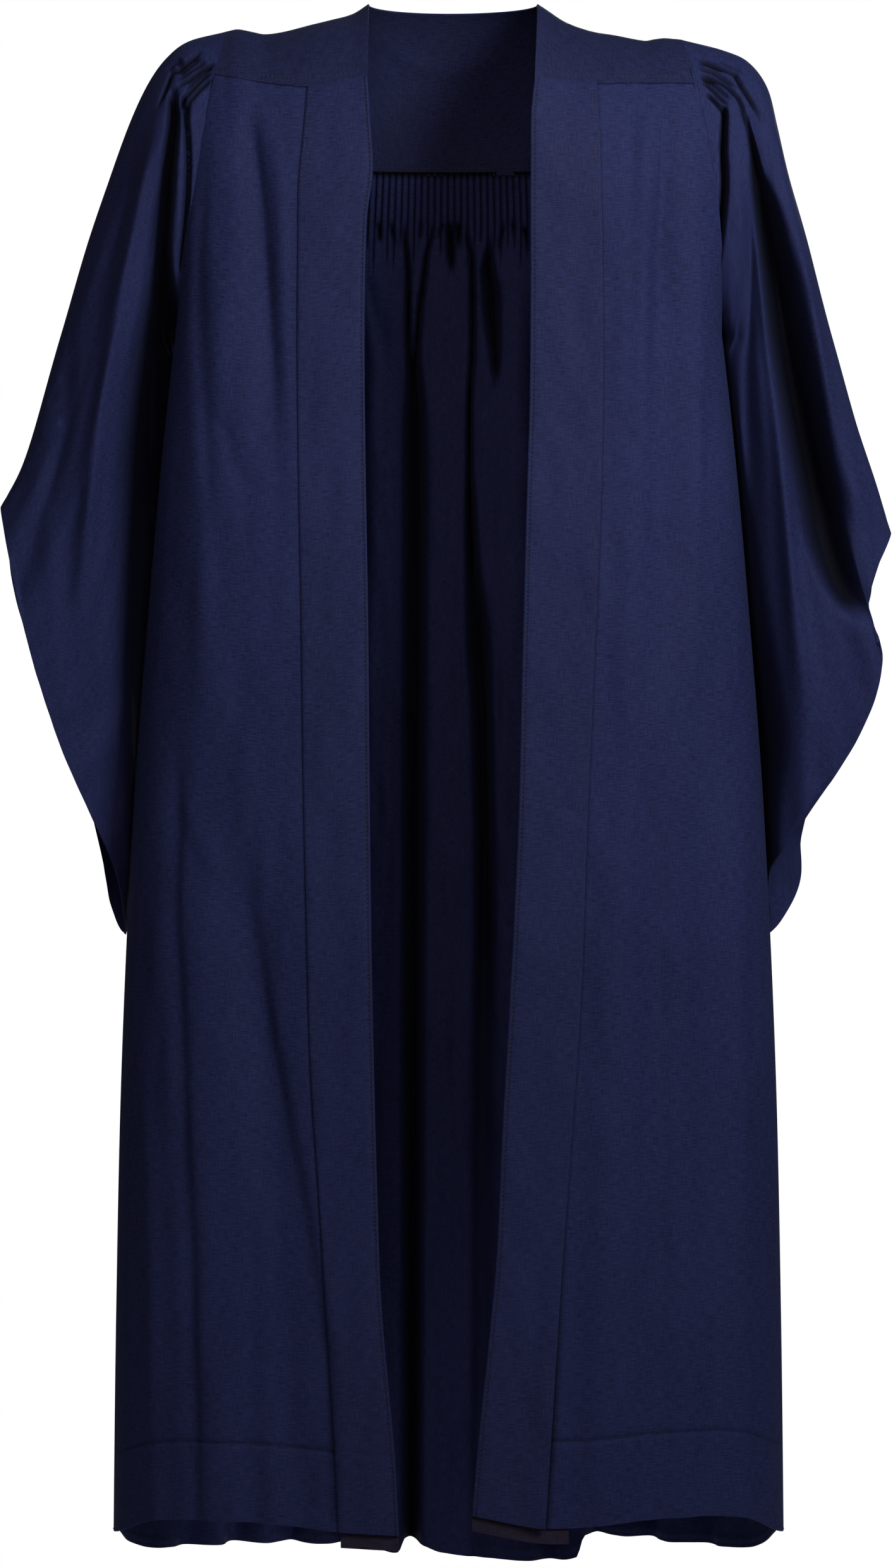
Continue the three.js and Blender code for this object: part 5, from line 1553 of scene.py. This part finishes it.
def sleeve_points(side):
    down = np.linspace(0, 1, SLEEVE_STEPS + 1)
    down = mix(down, down**2, 0.45)[:, None]
    head = head_angles()
    look = {column: read(SLEEVES[side], down, column) for column in list(SLEEVES[side])[1:]}
    over = np.stack([look["over_x"], MID_Y + 0 * down, look["over_z"]], -1)
    tuck_y = mix(MID_Y, SLEEVE_TUCK_Y, look["tuck"])
    under = np.stack([look["under_x"], tuck_y, look["under_z"]], -1)
    centre, reach = (over + under) / 2, (over - under) / 2
    size = np.linalg.norm(reach, axis=-1)
    half = look["half"]
    rings = zip(size.ravel().tolist(), half.ravel().tolist())
    evens = np.stack([even_angles(len(head), *ring) for ring in rings])
    angle = mix(head[None, :], evens, ease(down, 0.07, 0.4))
    turn = np.cos(angle)
    base = centre + reach * turn[..., None]
    base[..., 1] -= half * np.sin(angle)
    limit = np.maximum(0, 1 - half / size)
    core = centre + reach * np.clip(turn, -limit, limit)[..., None]
    out = unit(base - core)
    across, front = (1 - turn) / 2, np.sin(angle) > 0
    mouths = [read(MOUTHS[side], across, layer) for layer in ("front", "back")]
    mouth = np.where(front, *mouths) * ease(down, MOUTH_START, 1)
    along = reach / size[..., None]
    base[..., 0] += along[..., 2] * mouth
    base[..., 2] -= along[..., 0] * mouth
    sign = SIDES[side]["sign"]
    x, z = base[..., 0] * sign, base[..., 2]
    valleys = head_valleys(side, front, x, z) * ease(down, -0.004, 0.01)
    height = -HEAD_DEPTH * valleys
    height += sleeve_folds(side, front, across, down, size * 2)
    calm = ease(across, 0, 0.05) * (1 - ease(across, 0.93, 1)) * ease(down, 0.005, 0.04)
    for layer in ("front", "back"):
        creases = folds(x, z, SLEEVE_CREASES[side, layer])
        height += np.where(front == (layer == "front"), creases * calm, 0)
    spread = size * 2 * across * np.where(front, 1, -1)
    height += unrest(50 + sign, 24, 0.26, spread, down, 60, 0.5) * ease(down, 0.02, 0.2)
    height -= SLEEVE_HEM_LINE * np.exp(-(((down - SLEEVE_HEM_SHARE) / 0.005) ** 2))
    points = base + out * height[..., None]
    depth, painted_shade = sleeve_trenches(side, front, points[..., 0], points[..., 2])
    middle = (centre + reach * turn[..., None])[..., 1]
    room = np.maximum(0, np.abs(middle - points[..., 1]) - LAYERS_APART)
    points[..., 1] += np.where(front, 1, -1) * np.minimum(depth, room) * ease(down, 0, 0.01)
    # Painted shade in the valleys of the sleeve head, added to that of the trenches
    painted_shade = np.maximum(painted_shade, np.minimum(1, HEAD_SHADE * valleys))
    points = clear_of_body(points)
    points[0, :, 0] = armhole_x(side, points[0, :, 2]) + SEAM_GAP / 2
    inside = points[0] - out[0] * TUCKED_IN
    inside[:, 0] = armhole_x(side, inside[:, 2]) - 2
    points, out = np.concatenate([inside[None], points]), np.concatenate([out[:1], out])
    # The row tucked into the armhole is painted fully black, as painted shade
    return points, out, np.append(np.ones(len(inside)), painted_shade * PAINTED_SHADE_STRENGTH)


def clear_of_body(points):
    """Keeps a sleeve just outside the body, and lets what is near the body cling to it."""
    x, y, z = points[..., 0], points[..., 1], points[..., 2]
    below = UNDERARM_Z - z
    clearance = SEAM_GAP + np.maximum(below, 0) * CLEARANCE_RISE
    clearance = np.minimum(SLEEVE_CLEARANCE, clearance)
    least = 0 * x
    for layer, shown in (("front", y < MID_Y), ("back", y >= MID_Y)):
        share = np.abs(y - MID_Y) / read(BODY, z, layer)
        side_x = read(BODY, z, "width") * square_round(layer, share, z)
        least = np.where(shown, side_x + clearance, least)
    moved = np.where(below > 0, np.maximum(0, least - x), 0)
    points = points.copy()
    points[..., 0] += moved
    gap = points[..., 0] - least
    pull = gap * np.exp(-((gap / CLING) ** 2)) * ease(below, 0, CLING_START)
    points[..., 0] -= np.where(gap > 0, pull, 0)
    return points


def build_sleeve(side):
    points, out, painted_shade = sleeve_points(side)
    flip = np.array([SIDES[side]["sign"], 1, 1])
    points, out = points * flip, out * flip
    sheet = Sheet()
    down = np.append(0, np.linspace(0, 1, SLEEVE_STEPS + 1))[:, None] + 0 * points[..., 0]
    hem = ease(down, SLEEVE_HEM_SHARE - 0.003, SLEEVE_HEM_SHARE + 0.003)
    thick = CLOTH_THICK + SLEEVE_HEM_THICK * hem
    sheet.grid(points, out, thick, flat_places(points, True), True)
    sheet.painted_shade["outside"] = painted_shade
    made = sheet.piece(f"sleeve_{side}_cloth", cloth)
    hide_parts(f"sleeve_{side}")
    return made


sleeves = {side: build_sleeve(side) for side in SIDES}


# %% Stitching of the yoke
FRONT_STITCH_ROW, BACK_STITCH_ROW = -3, -2


def yoke_stitches(name, part, row, inside=False):
    points, outs = (kind[row] for kind in yoke_lines[part])
    path, normals = (points - outs * YOKE_THICK, -outs) if inside else (points, outs)
    return stitches(f"yoke_stitch_{name}", path, normals)


yoke_threads = [
    yoke_stitches("right", "right", FRONT_STITCH_ROW),
    yoke_stitches("left", "left", FRONT_STITCH_ROW),
    yoke_stitches("back", "back", BACK_STITCH_ROW),
    yoke_stitches("inside", "back", BACK_STITCH_ROW, True),
]

# %% [markdown]
# ## The built pieces
#
# Ten pieces of cloth are built: two fronts, two bands, two facings, the yoke, the back
# and two sleeves.

print("ten pieces of cloth are built")
